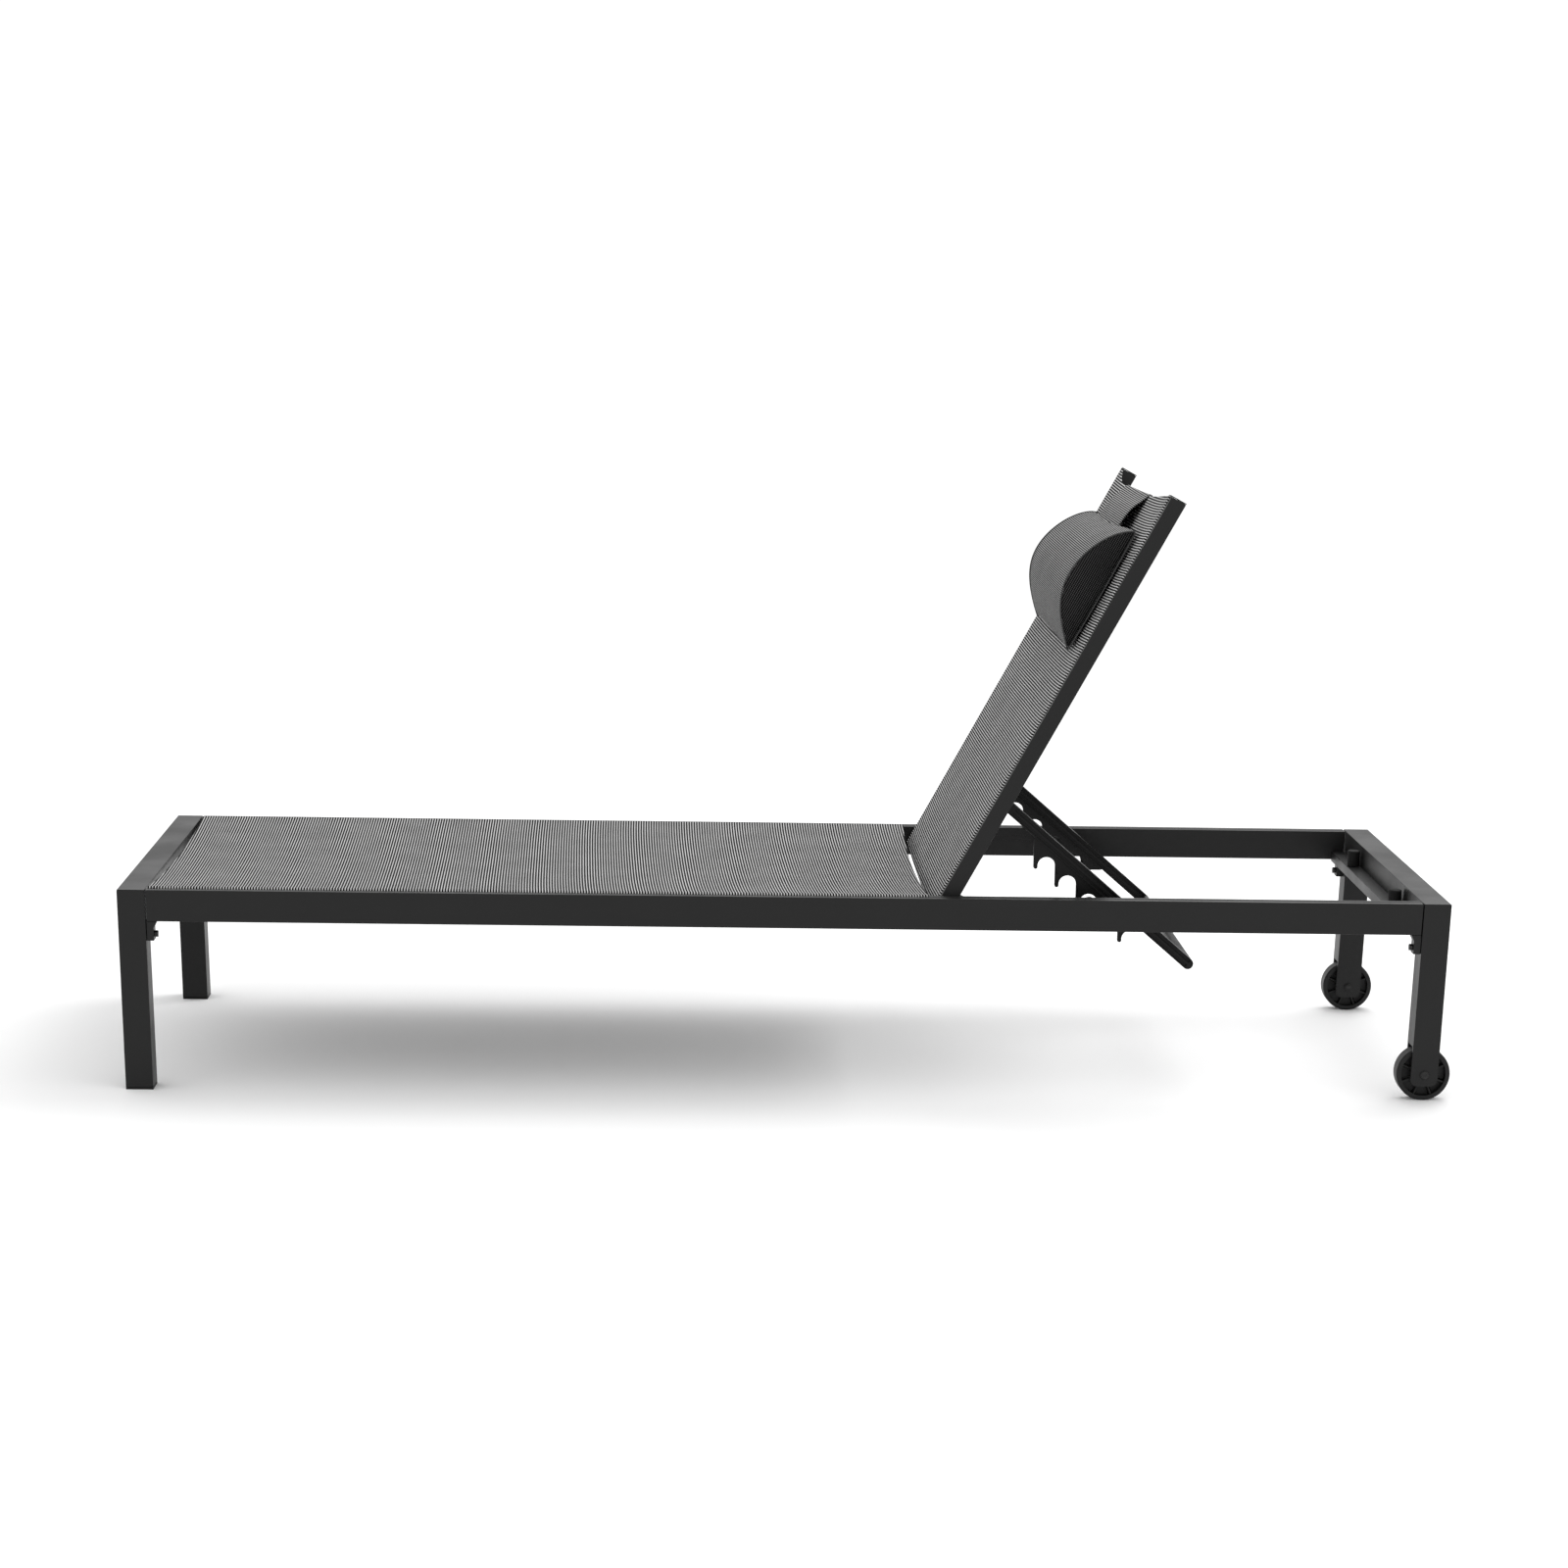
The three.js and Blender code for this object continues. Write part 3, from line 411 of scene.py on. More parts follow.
@dataclass(frozen=True)
class DarkSteel:
    """Blackened steel of the fasteners: turned lines and a worn sheen."""

    name: str
    tone: float = 0.022
    roughness: float = 0.36

    def make(self) -> bpy.types.Material:
        """Returns the material."""
        s = Shader(self.name)
        place = s.place()
        wear = s.noise(place, 160.0, 3.0)
        scratches = s.noise(place, 900.0, 2.0)
        colour = s.blend(s.step(wear, 0.45, 0.75), grey(self.tone), grey(self.tone * 1.9, 0.02))
        rough = s.step(wear, 0.3, 0.7, self.roughness - 0.06, self.roughness + 0.1)
        return s.finish(colour, rough, s.relief(scratches, 0.01 * MM), Metallic=0.8)


@dataclass(frozen=True)
class StripedWeave:
    """Coated-yarn outdoor fabric: light and dark weft stripes crossed by a fine dark warp.

    The weft runs across the cloth, so the stripes follow the second cloth coordinate. The warp
    ties each yarn down at even steps of the first one. If seam_at is given, a stitched seam runs
    at that distance from the middle, and painted shade darkens the cloth in the seam's groove.

    Attributes:
        light: Tone of the light stripes.
        dark: Tone of the dark stripes.
        pitch: From one light stripe to the next.
        warp: From one warp yarn to the next.
        share: Where the light stripe starts on the weft's sine.
        tie: How much a warp yarn darkens the stripe it crosses.
        drift: How far a stripe wanders, as a share of the pitch.
        soft: How soft a stripe's edge is on the weft's sine.
        stitch: From one stitch of the seam to the next.
    """

    name: str
    light: float
    dark: float
    pitch: float
    warp: float
    share: float = 0.0
    tie: float = 0.12
    depth: float = 0.2 * MM
    roughness: float = 0.72
    gloss: float = 0.12
    drift: float = 0.12
    soft: float = 0.25
    cloud_cells: float = 14.0
    yarn_cells: float = 2400.0
    seam_at: float = 0.0
    stitch: float = 3.6 * MM

    def make(self) -> bpy.types.Material:
        """Returns the material."""
        s = Shader(self.name)
        vector, across, along = s.cloth()
        drift = s.calc("SUBTRACT", s.noise(vector, 60.0, 2.0), 0.5)
        drift = s.calc("MULTIPLY", drift, self.pitch * self.drift)
        weft = s.wave(s.calc("ADD", along, drift), self.pitch)
        warp = s.wave(across, self.warp)
        band = s.step(weft, self.share - self.soft, self.share + self.soft)
        tied = s.step(warp, -0.9, 0.2, 1 - self.tie, 1.0)
        light = s.calc("MULTIPLY", band, tied)
        fade = s.step(s.noise(vector, self.cloud_cells, 3.0), 0.3, 0.7, 0.92, 1.07)
        yarns = s.noise(vector, self.yarn_cells, 1.0)
        bright = s.blend(yarns, grey(self.light * 0.8, 0.004), grey(self.light * 1.2, 0.004))
        base = s.blend(light, grey(self.dark), bright)
        shade = s.add("ShaderNodeMix", data_type="RGBA", blend_type="MULTIPLY")
        s.feed(shade.inputs[0], 1.0)
        s.feed(shade.inputs[6], base)
        s.feed(shade.inputs[7], fade)
        colour = shade.outputs[2]
        height = s.calc("ADD", s.calc("MULTIPLY", weft, 0.3), s.calc("MULTIPLY", warp, 0.2))
        normal = s.relief(height, self.depth)
        if self.seam_at:
            off = s.calc("ABSOLUTE", s.calc("SUBTRACT", s.calc("ABSOLUTE", across), self.seam_at))
            groove = s.step(off, 0.0, 1.6 * MM)
            dash = s.step(s.wave(along, self.stitch), -0.55, -0.25)
            thread = s.calc("MULTIPLY", s.step(off, 0.45 * MM, 0.75 * MM, 1.0, 0.0), dash)
            normal = s.relief(groove, 0.9 * MM, normal)
            # Painted shade: within 2 mm of the seam the colour is darkened towards the dark stripes' tone,
            # standing in for the shade that falls in its groove.
            colour = s.blend(s.step(off, 0.3 * MM, 2.0 * MM, 0.85, 0.0), colour, grey(self.dark))
            colour = s.blend(s.calc("MULTIPLY", thread, 0.6), colour, grey(self.light * 0.35))
        return s.finish(colour, self.roughness, normal, Specular_IOR_Level=self.gloss)


@dataclass(frozen=True)
class Stage:
    """A plain pale floor with soft studio light."""

    floor_width: float = 80.0
    floor_tone: float = 0.95
    world_strength: float = 1.09
    key: float = 45.0
    key_place: tuple[float, float, float] = (1.3, 1.2, 3.0)
    key_size: float = 2.0
    key_aim: tuple[float, float, float] = (0.1, 0.0, 0.35)

    def build(self) -> None:
        """Makes the floor, the sky and the lights."""
        half = self.floor_width / 2
        x, y = np.meshgrid([-half, half], [-half, half])
        corners = np.stack([x, y, 0 * x], -1)
        floor = grid_object("studio_floor", corners)
        s = Shader("pale_floor")
        low, high = self.floor_tone - 0.01, self.floor_tone + 0.01
        tone = s.step(s.noise(s.place(), 0.6, 2.0), 0.3, 0.7, low, high)
        floor.data.materials.append(s.finish(tone, 0.85, None, Specular_IOR_Level=0.1))
        floor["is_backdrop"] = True
        world = bpy.data.worlds.new("studio")
        world.use_nodes = True
        sky = world.node_tree.nodes["Background"]
        sky.inputs[0].default_value = grey(1.0)
        sky.inputs[1].default_value = self.world_strength
        bpy.context.scene.world = world
        self.lamp("key_light", self.key_place, self.key_size, self.key)
        bpy.context.scene.view_settings.view_transform = "Standard"

    def lamp(self, name: str, place: tuple[float, float, float], size: float, power: float) -> None:
        """Hangs a square soft light that faces the lounger.

        Args:
            name: The light's name.
            place: Where it hangs.
            size: Its width.
            power: Its power in watts.
        """
        data = bpy.data.lights.new(name, "AREA")
        data.shape, data.size, data.energy = "SQUARE", size, power
        lamp = bpy.data.objects.new(name, data)
        at = np.array(place)
        back = at - np.array(self.key_aim)
        back /= np.linalg.norm(back)
        side = np.cross([0, 0, 1.0], back)
        side /= np.linalg.norm(side)
        turn = np.eye(4)
        turn[:3, 0], turn[:3, 1], turn[:3, 2], turn[:3, 3] = side, np.cross(back, side), back, at
        lamp.matrix_world = Matrix(turn.tolist())
        bpy.context.scene.collection.objects.link(lamp)


@dataclass(frozen=True)
class Viewpoint:
    """The camera, a long lens a little above the seat on the left side."""

    place: tuple[float, float, float] = (-0.1771, -5.3523, 1.2813)
    yaw: float = 0.0323
    pitch: float = 0.1606
    roll: float = -0.0174
    lens: float = 80.53
    sensor: float = 36.0

    def build(self) -> None:
        """Makes the camera: forward is turned by yaw and pitch, then rolled about itself."""
        cos, sin = math.cos, math.sin
        reach = cos(self.pitch)
        forward = np.array([sin(self.yaw) * reach, cos(self.yaw) * reach, -sin(self.pitch)])
        level = np.array([cos(self.yaw), -sin(self.yaw), 0.0])
        down = np.cross(forward, level)
        right = cos(self.roll) * level + sin(self.roll) * down
        below = -sin(self.roll) * level + cos(self.roll) * down
        turn = np.eye(4)
        turn[:3, 0], turn[:3, 1], turn[:3, 2], turn[:3, 3] = right, -below, -forward, self.place
        data = bpy.data.cameras.new("camera")
        data.lens, data.sensor_width = self.lens, self.sensor
        camera = bpy.data.objects.new("camera", data)
        camera.matrix_world = Matrix(turn.tolist())
        bpy.context.scene.collection.objects.link(camera)
        bpy.context.scene.camera = camera


# ------------------------------------------------------------------ hard pieces


@dataclass
class HardPieces:
    """Every hard CAD piece: rounded edges, smooth turned faces and its finish."""

    finishes: dict[str, bpy.types.Material]
    tube_slots: tuple[str, ...] = ("frame_powder_coat",)
    moulded_slots: tuple[str, ...] = ("prop_plastic", "wheel_plastic")
    crisp_nodes: tuple[str, ...] = ("head_leg_left", "head_leg_right")
    smooth_below: float = math.radians(32)
    round_above: float = math.radians(40)
    same_place: float = 0.004 * MM
    group: Optional[bpy.types.NodeTree] = field(default=None)

    def smoothing(self) -> bpy.types.NodeTree:
        """Returns the node group that joins loose faces and smooths all but sharp edges."""
        if self.group is None:
            group = bpy.data.node_groups.new("smooth_turned_faces", "GeometryNodeTree")
            for way in ("INPUT", "OUTPUT"):
                group.interface.new_socket("Geometry", in_out=way, socket_type="NodeSocketGeometry")
            new = group.nodes.new
            start, end = new("NodeGroupInput"), new("NodeGroupOutput")
            merge = new("GeometryNodeMergeByDistance")
            merge.inputs["Distance"].default_value = self.same_place
            faces = new("GeometryNodeSetShadeSmooth")
            edges = new("GeometryNodeSetShadeSmooth")
            edges.domain = "EDGE"
            angle = new("GeometryNodeInputMeshEdgeAngle")
            low = new("FunctionNodeCompare")
            low.operation = "LESS_THAN"
            low.inputs[1].default_value = self.smooth_below
            link = group.links.new
            link(start.outputs[0], merge.inputs[0])
            link(merge.outputs[0], faces.inputs[0])
            link(faces.outputs[0], edges.inputs[0])
            link(angle.outputs[0], low.inputs[0])
            link(low.outputs[0], edges.inputs["Shade Smooth"])
            link(edges.outputs[0], end.inputs[0])
            self.group = group
        return self.group

    def edge_of(self, slot: str) -> Edge:
        """Returns how round the edges of a piece with this finish are."""
        if slot in self.tube_slots:
            return Edge.TUBE
        return Edge.MOULDED if slot in self.moulded_slots else Edge.SMALL

    def build(self) -> None:
        """Dresses every CAD node by the record's material slot."""
        for part in frame["record"]["subparts"]:
            node, slot = part["node"], part["material_slot"]
            obj = frame["nodes"][node]
            obj.data.materials.clear()
            obj.data.materials.append(self.finishes[slot])
            if "textile" in slot:
                continue
            smooth = obj.modifiers.new("smooth", "NODES")
            smooth.node_group = self.smoothing()
            if node in self.crisp_nodes:
                continue
            bevel = obj.modifiers.new("edges", "BEVEL")
            bevel.width = self.edge_of(slot).value
            bevel.segments = 3
            bevel.limit_method = "ANGLE"
            bevel.angle_limit = self.round_above
            bevel.use_clamp_overlap = False
            bevel.harden_normals = True
            LOG.info("%s: %s", node, slot)


# ------------------------------------------------------------------ slings


def thicken(sheet: bpy.types.Object, material: bpy.types.Material, thickness: float) -> None:
    """Gives a sheet its material and its thickness, half to each side."""
    sheet.data.materials.append(material)
    wall = sheet.modifiers.new("thickness", "SOLIDIFY")
    wall.thickness, wall.offset = thickness, 0.0


@dataclass
class Sling:
    """A stretched textile sling between two spline grooves, with a folded hem at each end.

    Attributes:
        groove: Distance from the middle to a groove's middle.
        edge: Distance from the middle to a rail's inner edge.
        face: The rails' top, off the board.
        start: Where the cloth starts along the board.
        end: Where it ends.
        start_dip: How far its start is drawn in, by the place across.
        end_dip: How far its end is drawn in, by the place across.
        skew: How far the stripes run on along the board, per distance across.
        start_bow: How far the stripes curve back near the rails, at the start.
        end_bow: The same at the end.
        gather: Height of the ripples next to the rails.
    """

    name: str
    node: str
    body: str
    board: Board
    groove: float
    edge: float
    face: float
    start: float
    end: float
    material: bpy.types.Material
    rests_on: list[str]
    start_dip: Callable[[np.ndarray], np.ndarray] = lambda y: 0 * y
    end_dip: Callable[[np.ndarray], np.ndarray] = lambda y: 0 * y
    sag: float = 8 * MM
    start_sag: float = 8 * MM
    skew: float = 0.027
    start_bow: float = 0.0
    end_bow: float = 4 * MM
    thickness: float = 1.0 * MM
    lift: float = 0.3 * MM
    in_groove: float = 3.2 * MM
    bead: float = 1.3 * MM
    hem: float = 16 * MM
    hem_radius: float = 0.75 * MM
    gather: float = 0.35 * MM
    gather_inset: float = 4 * MM
    gather_reach: float = 7 * MM
    ripple: float = 21 * MM
    small_ripple: float = 13.3 * MM
    slow_wave: float = 310 * MM
    slow_height: float = 0.35 * MM
    turn: float = 1.2 * MM
    tight_length: float = 160 * MM
    rows: int = 260
    columns: int = 44

    def section(self) -> tuple[np.ndarray, np.ndarray]:
        """Returns the half section across: distance from the middle and depth in the groove.

        From the middle the section runs out to the rail's inner edge, over a round bead on the
        rail's lip, as half a sine, and turns down into the groove on a small quarter circle.
        """
        inner = self.edge * np.sin(np.linspace(0, math.pi / 2, self.columns))
        turn = self.turn
        over = np.linspace(self.edge + turn, self.groove - turn, 10)
        bead = self.bead * np.sin(np.linspace(0, math.pi, 10))
        angle = np.linspace(0, math.pi / 2, 5)[1:]
        corner = self.groove - turn + turn * np.sin(angle)
        y = np.concatenate([inner, over, corner, [self.groove]])
        drop = np.concatenate([0 * inner, -bead, turn * (1 - np.cos(angle)), [self.in_groove]])
        return y, drop

    def out_at(self, along: np.ndarray, y: np.ndarray) -> np.ndarray:
        """Returns how far the cloth's middle stands off the board.

        Between the rails the cloth hangs in a parabola across, shallower towards the start if it
        is tighter there. Close to the rails it is gathered into small ripples, and slow waves run
        over the whole of it.
        """
        tight = 1 - ease(along, self.start, self.start + self.tight_length)
        sag = self.sag + (self.start_sag - self.sag) * tight
        level = self.face + self.lift + self.thickness / 2
        inside = np.clip(1 - (y / self.edge) ** 2, 0, 1)
        near = np.exp(-(((np.abs(y) - self.edge + self.gather_inset) / self.gather_reach) ** 2))
        turns = 2 * np.pi * along
        ripple = np.sin(turns / self.ripple + 9 * y) + 0.7 * np.sin(turns / self.small_ripple + 2.0)
        across = np.clip(0.5 + 0.5 * y / self.edge, 0, 1)
        slow = np.sin(turns / self.slow_wave + 4 * y) * np.sin(np.pi * across)
        return level - sag * inside + self.gather * near * (1 + ripple) / 2 + self.slow_height * slow

    def build(self) -> bpy.types.Object:
        """Makes the cloth: the main length, and at each end a fold that turns under and back."""
        half_y, half_drop = self.section()
        y = np.concatenate([-half_y[:0:-1], half_y])[None, :]
        drop = np.concatenate([half_drop[:0:-1], half_drop])[None, :]
        share = np.linspace(0, 1, self.rows)[:, None]
        first, last = self.start + self.start_dip(y), self.end - self.end_dip(y)
        angle = np.linspace(0, math.pi, 7)[1:, None]
        back = np.linspace(0, self.hem, 5)[1:, None]
        r = self.hem_radius
        fold_out = np.concatenate([r * np.sin(angle), -back])
        fold_down = np.concatenate([r * (1 - np.cos(angle)), 2 * r + 0 * back])
        taper = ease(np.abs(y), self.edge + 6 * MM, self.edge)
        along = np.concatenate([(first - fold_out)[::-1], first + (last - first) * share, last + fold_out])
        main_out = self.out_at(along, y)
        down = np.concatenate([fold_down[::-1], 0 * share, fold_down]) * taper
        out = main_out - down - drop
        points = self.board.place(along, y, out)
        across = np.cumsum(np.hypot(np.diff(y[0], prepend=y[0, 0]), np.diff(drop[0], prepend=drop[0, 0])))
        across -= across.mean()
        run = (along - self.start) / (self.end - self.start)
        bow = self.start_bow + (self.end_bow - self.start_bow) * run
        drawn = along + self.skew * y - bow * np.abs(y / self.groove) ** 3
        uv = np.stack(np.broadcast_arrays(across[None, :], drawn), -1)
        cloth = grid_object(self.name, points[::-1], uv[::-1])
        thicken(cloth, self.material, self.thickness)
        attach(cloth, self.body)
        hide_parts(self.node)
        return cloth


# ------------------------------------------------------------------ headrest


def rounded_path(corners: np.ndarray, turns: int = 3) -> np.ndarray:
    """Rounds a path by cutting its corners: each side is kept from a quarter to three quarters.

    Args:
        corners: Corner positions, with the path along the first axis.
        turns: How many times the corners are cut.

    Returns:
        The longer, rounder path with the same ends.
    """
    for _ in range(turns):
        low = 0.75 * corners[:-1] + 0.25 * corners[1:]
        high = 0.25 * corners[:-1] + 0.75 * corners[1:]
        middle = np.stack([low, high], 1).reshape(-1, *corners.shape[1:])
        corners = np.concatenate([corners[:1], middle[1:-1], corners[-1:]])
    return corners


@dataclass
class Strap:
    """The headrest's flat strap: over the sling's top edge, round the upper bar and back up.

    Attributes:
        start: Where its lower end lies along the board, under the pillow.
        arch: How far it stands off the sling between the pillow and the sling's top edge.
        waist: How far each side is drawn in halfway.
        slack: Length at its lower end that lies flat.
    """

    board: Board
    sling: Sling
    material: bpy.types.Material
    start: float
    arch: float = 9 * MM
    waist: float = 3 * MM
    slack: float = 60 * MM
    clearance: float = 0.5 * MM
    thickness: float = 1.5 * MM
    columns: int = 34

    def corners(self, y: np.ndarray, edge: np.ndarray) -> np.ndarray:
        """Returns the corners of the strap's path.

        Args:
            y: Places across.
            edge: Where the sling's top edge is, for each of them.

        Returns:
            Corners as (along, out), n x 2 x places.
        """
        bar_low, bar_high = self.board.extent("backrest_upper_bar")
        cloth = self.sling.out_at(edge, y)
        level = self.sling.face + self.sling.lift + self.sling.thickness + self.thickness / 2 + 0.4 * MM
        gap = self.thickness / 2 + self.clearance
        front = cloth + self.sling.thickness / 2 + gap
        rear, under, inner = bar_low[2] - gap, bar_low[0] - gap, bar_high[2] + gap
        flat = 0 * y
        lying = [(flat + self.start, flat + level)]
        arched = [
            (flat + self.start + 110 * MM, level + self.arch + flat),
            (edge - 34 * MM, level + self.arch + flat),
        ]
        over_the_edge = [
            (edge - 7 * MM, front + 2.5 * MM),
            (edge + 3.5 * MM, front - 0.5 * MM),
            (edge + 3.5 * MM, cloth - 4 * MM),
            (edge - 5 * MM, cloth - 9 * MM),
        ]
        round_the_bar = [
            (flat + bar_high[0] + 1.5 * MM, flat + rear + 3 * MM),
            (flat + bar_high[0] - 8 * MM, flat + rear),
            (flat + under, flat + rear),
            (flat + under, flat + inner),
            (flat + under + 19 * MM, flat + inner),
        ]
        return np.array(lying + arched + over_the_edge + round_the_bar)

    def build(self) -> bpy.types.Object:
        """Makes the strap: the rounded path of its corners, carried across and drawn in halfway."""
        low, high = self.board.extent("headrest_strap")
        y = np.linspace(low[1], high[1], self.columns)
        edge = self.sling.end - self.sling.end_dip(y)
        path = rounded_path(self.corners(y, edge).transpose(0, 2, 1))
        middle, half = (low[1] + high[1]) / 2, (high[1] - low[1]) / 2
        free = self.start + self.slack
        drawn = np.sin(np.pi * np.clip((path[..., 0] - free) / (edge - free), 0, 1))
        across = y[None, :] - self.waist * drawn * (y[None, :] - middle) / half
        points = self.board.place(path[..., 0], across, path[..., 1])
        step = np.hypot(*np.moveaxis(np.diff(path, axis=0, prepend=path[:1]), -1, 0))
        uv = np.stack(np.broadcast_arrays(y[None, :], np.cumsum(step, 0)), -1)
        strap = grid_object("headrest_strap_band", points[::-1], uv[::-1])
        thicken(strap, self.material, self.thickness)
        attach(strap, "backrest")
        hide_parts("headrest_strap")
        return strap


@dataclass
class Bolster:
    """The D-shaped headrest pillow: a crowned body, two end panels and piping round them.

    Attributes:
        low: The lowest (along, y, out) of its CAD solid.
        high: The highest (along, y, out) of its CAD solid.
        voxel: Size of the cover's faces.
        fill_cap: How far the filling may push the cover.
        top_lean: How far the upper tip leans down past the middle.
        tuck: How far the end panels tuck in at the back.
        fullness: Height of the end panels, as a share of the CAD solid's.
        crown: How much higher the middle is, as a share of the CAD solid's height.
        sewn_in: How far the end seams lie in from the CAD solid's ends.
        tip_inset: How far the cover's tips lie in from the CAD solid's.
        seam_reach: How far from an end seam its hold fades, and so on for the two tips.
        end_reach: How far in from an end a face may lie to be part of its panel.
    """

    board: Board
    body_cloth: bpy.types.Material
    end_cloth: bpy.types.Material
    piping_cloth: bpy.types.Material
    low: np.ndarray = field(default_factory=lambda: np.zeros(3))
    high: np.ndarray = field(default_factory=lambda: np.zeros(3))
    voxel: float = 4.5 * MM
    fill_cap: float = 6 * MM
    piping: float = 1.2 * MM
    top_lean: float = 9 * MM
    tuck: float = 5 * MM
    fullness: float = 0.91
    crown: float = 0.05
    sewn_in: float = 2.5 * MM
    tip_inset: float = 1.5 * MM
    end_reach: float = 14 * MM
    seam_reach: float = 6 * MM
    low_tip_reach: float = 9 * MM
    top_tip_reach: float = 7 * MM
    pressure: float = 4.0
    frames: int = 20
    rings: int = 42
    around: int = 72

    def measure(self) -> None:
        """Reads the pillow's place from its CAD solid."""
        self.low, self.high = self.board.extent("headrest_pillow")

    @property
    def middle(self) -> float:
        """Y of the pillow's middle."""
        return (self.low[1] + self.high[1]) / 2

    @property
    def half(self) -> float:
        """Half the pillow's length."""
        return (self.high[1] - self.low[1]) / 2

    @property
    def depth(self) -> float:
        """How far the CAD solid stands off the board."""
        return self.high[2] - self.low[2]

    def lean(self, along: np.ndarray, y: np.ndarray) -> np.ndarray:
        """Returns how far the top leans down: nothing at the left end, growing to past the middle."""
        share = (y - self.middle) / self.half
        return self.top_lean * ease(share, -1, 0.4) * ease(along, self.low[0], self.high[0])

    def tucked(self, out: np.ndarray) -> np.ndarray:
        """Returns how far an end panel tucks in under the pillow: all of it at the back."""
        return self.tuck * (1 - ease(out, self.low[2], self.low[2] + 14 * MM))

    def crest(self, share: np.ndarray) -> np.ndarray:
        """Returns the front's height from 0 to 1, for a share of -1 at the foot to 1 at the top.

        It is (1 - s²) to a power: 0.7 at the top, which is full and round, and 1.05 at the lower
        edge, which is leaner.
        """
        power = 0.7 + 0.35 * (1 - ease(share, -1, 1))
        return np.clip(1 - share**2, 0, 1) ** power

    def outline(self, inset: float, depth: float) -> np.ndarray:
        """Returns the closed D outline as (along, out), up the front and down the back.

        Args:
            inset: How far it is drawn in at the two tips.
            depth: The height of its crest.

        Returns:
            Points, n x 2.
        """
        middle, half = (self.low[0] + self.high[0]) / 2, (self.high[0] - self.low[0]) / 2 - inset
        share = -np.cos(np.linspace(0, np.pi, self.around))
        front = np.stack([middle + half * share, self.low[2] + depth * self.crest(share)], -1)
        back_share = share[::-1][1:-1]
        back = np.stack([middle + half * back_share, self.low[2] - 1.5 * MM * (1 - back_share**2)], -1)
        return np.concatenate([front, back])

    def cover(self) -> bpy.types.Object:
        """Makes the cover before it is filled: the outline carried along Y, drawn in at the ends."""
        span = np.linspace(-1, 1, self.rings)
        rings = []
        for share in span:
            crown = 1 - abs(share) ** 5
            ring = self.outline(self.tip_inset, self.depth * (self.fullness + self.crown * crown))
            y = self.middle + share * (self.half - self.sewn_in - self.tucked(ring[:, 1]))
            ring[:, 0] -= self.lean(ring[:, 0], y)
            rings.append(self.board.place(ring[:, 0], y, ring[:, 1]))
        points = np.stack(rings)
        if inside_out(points):
            points = points[::-1]
        return grid_object("bolster", points, round_columns=True, caps=True)

    def even_mesh(self, obj: bpy.types.Object) -> None:
        """Gives the cover an even net of small faces."""
        remesh = obj.modifiers.new("net", "REMESH")
        remesh.mode, remesh.voxel_size = "VOXEL", self.voxel
        self.keep_result(obj)

    @staticmethod
    def keep_result(obj: bpy.types.Object) -> None:
        """Puts the result of an object's modifiers into its mesh and clears them."""
        graph = bpy.context.evaluated_depsgraph_get()
        mesh = bpy.data.meshes.new_from_object(obj.evaluated_get(graph))
        obj.modifiers.clear()
        obj.data = mesh

    def hold(self, local: np.ndarray) -> np.ndarray:
        """Returns how firmly each point is sewn or rests, from 0 to 1.

        The seams round the end panels and along the two tips hold, and so does the flat back.
        """
        local = local.copy()
        local[:, 0] += self.lean(local[:, 0], local[:, 1])
        to_end = np.abs(np.abs(local[:, 1] - self.middle) - (self.half - self.sewn_in))
        outline = self.outline(self.tip_inset, self.depth * self.fullness)
        gaps = np.linalg.norm(local[:, None, ::2] - outline[None], axis=-1).min(1)
        end_seam = np.exp(-((to_end / self.seam_reach) ** 2)) * np.exp(-((gaps / self.seam_reach) ** 2))
        tips = np.exp(-(((local[:, 0] - self.low[0]) / self.low_tip_reach) ** 2))
        tips = np.maximum(tips, np.exp(-(((local[:, 0] - self.high[0]) / self.top_tip_reach) ** 2)))
        back = ease(local[:, 2], self.low[2] + 6 * MM, self.low[2] + 1 * MM)
        return np.clip(np.maximum.reduce([end_seam, tips, 0.9 * back]), 0, 1)

    def fill(self, obj: bpy.types.Object) -> None:
        """Fills the cover: cloth under pressure, held at its seams, for a number of frames.

        Args:
            obj: The cover.
        """
        flat = np.empty(len(obj.data.vertices) * 3)
        obj.data.vertices.foreach_get("co", flat)
        before = flat.reshape(-1, 3).copy()
        held = self.hold(self.board.read(before))
        group = obj.vertex_groups.new(name="sewn")
        for level in range(11):
            chosen = np.flatnonzero(np.round(held * 10) == level)
            if len(chosen):
                group.add(chosen.tolist(), level / 10, "REPLACE")
        cloth = obj.modifiers.new("filling", "CLOTH")
        settings = cloth.settings
        settings.quality = 6
        settings.mass = 0.25
        settings.tension_stiffness = settings.compression_stiffness = 14
        settings.shear_stiffness = 8
        settings.bending_stiffness = 0.6
        settings.use_pressure = True
        settings.uniform_pressure_force = self.pressure
        settings.effector_weights.gravity = 0.0
        settings.vertex_group_mass = group.name
        settings.pin_stiffness = 1.0
        cloth.point_cache.frame_start, cloth.point_cache.frame_end = 1, self.frames + 4
        scene = bpy.context.scene
        for step in range(1, self.frames + 1):
            scene.frame_set(step)
        graph = bpy.context.evaluated_depsgraph_get()
        done = obj.evaluated_get(graph)
        flat = np.empty(len(done.data.vertices) * 3)
        done.data.vertices.foreach_get("co", flat)
        after = flat.reshape(-1, 3).copy()
        obj.modifiers.clear()
        scene.frame_set(1)
        moved = after - before
        size = np.linalg.norm(moved, axis=1, keepdims=True)
        moved *= np.minimum(1, self.fill_cap / np.maximum(size, 1e-9))
        local = self.board.read(before + moved)
        local[:, 2] = np.maximum(local[:, 2], self.low[2] - 4 * MM)
        local[:, 2] = np.minimum(local[:, 2], self.high[2] + 1.5 * MM)
        placed = self.board.place(local[:, 0], local[:, 1], local[:, 2])
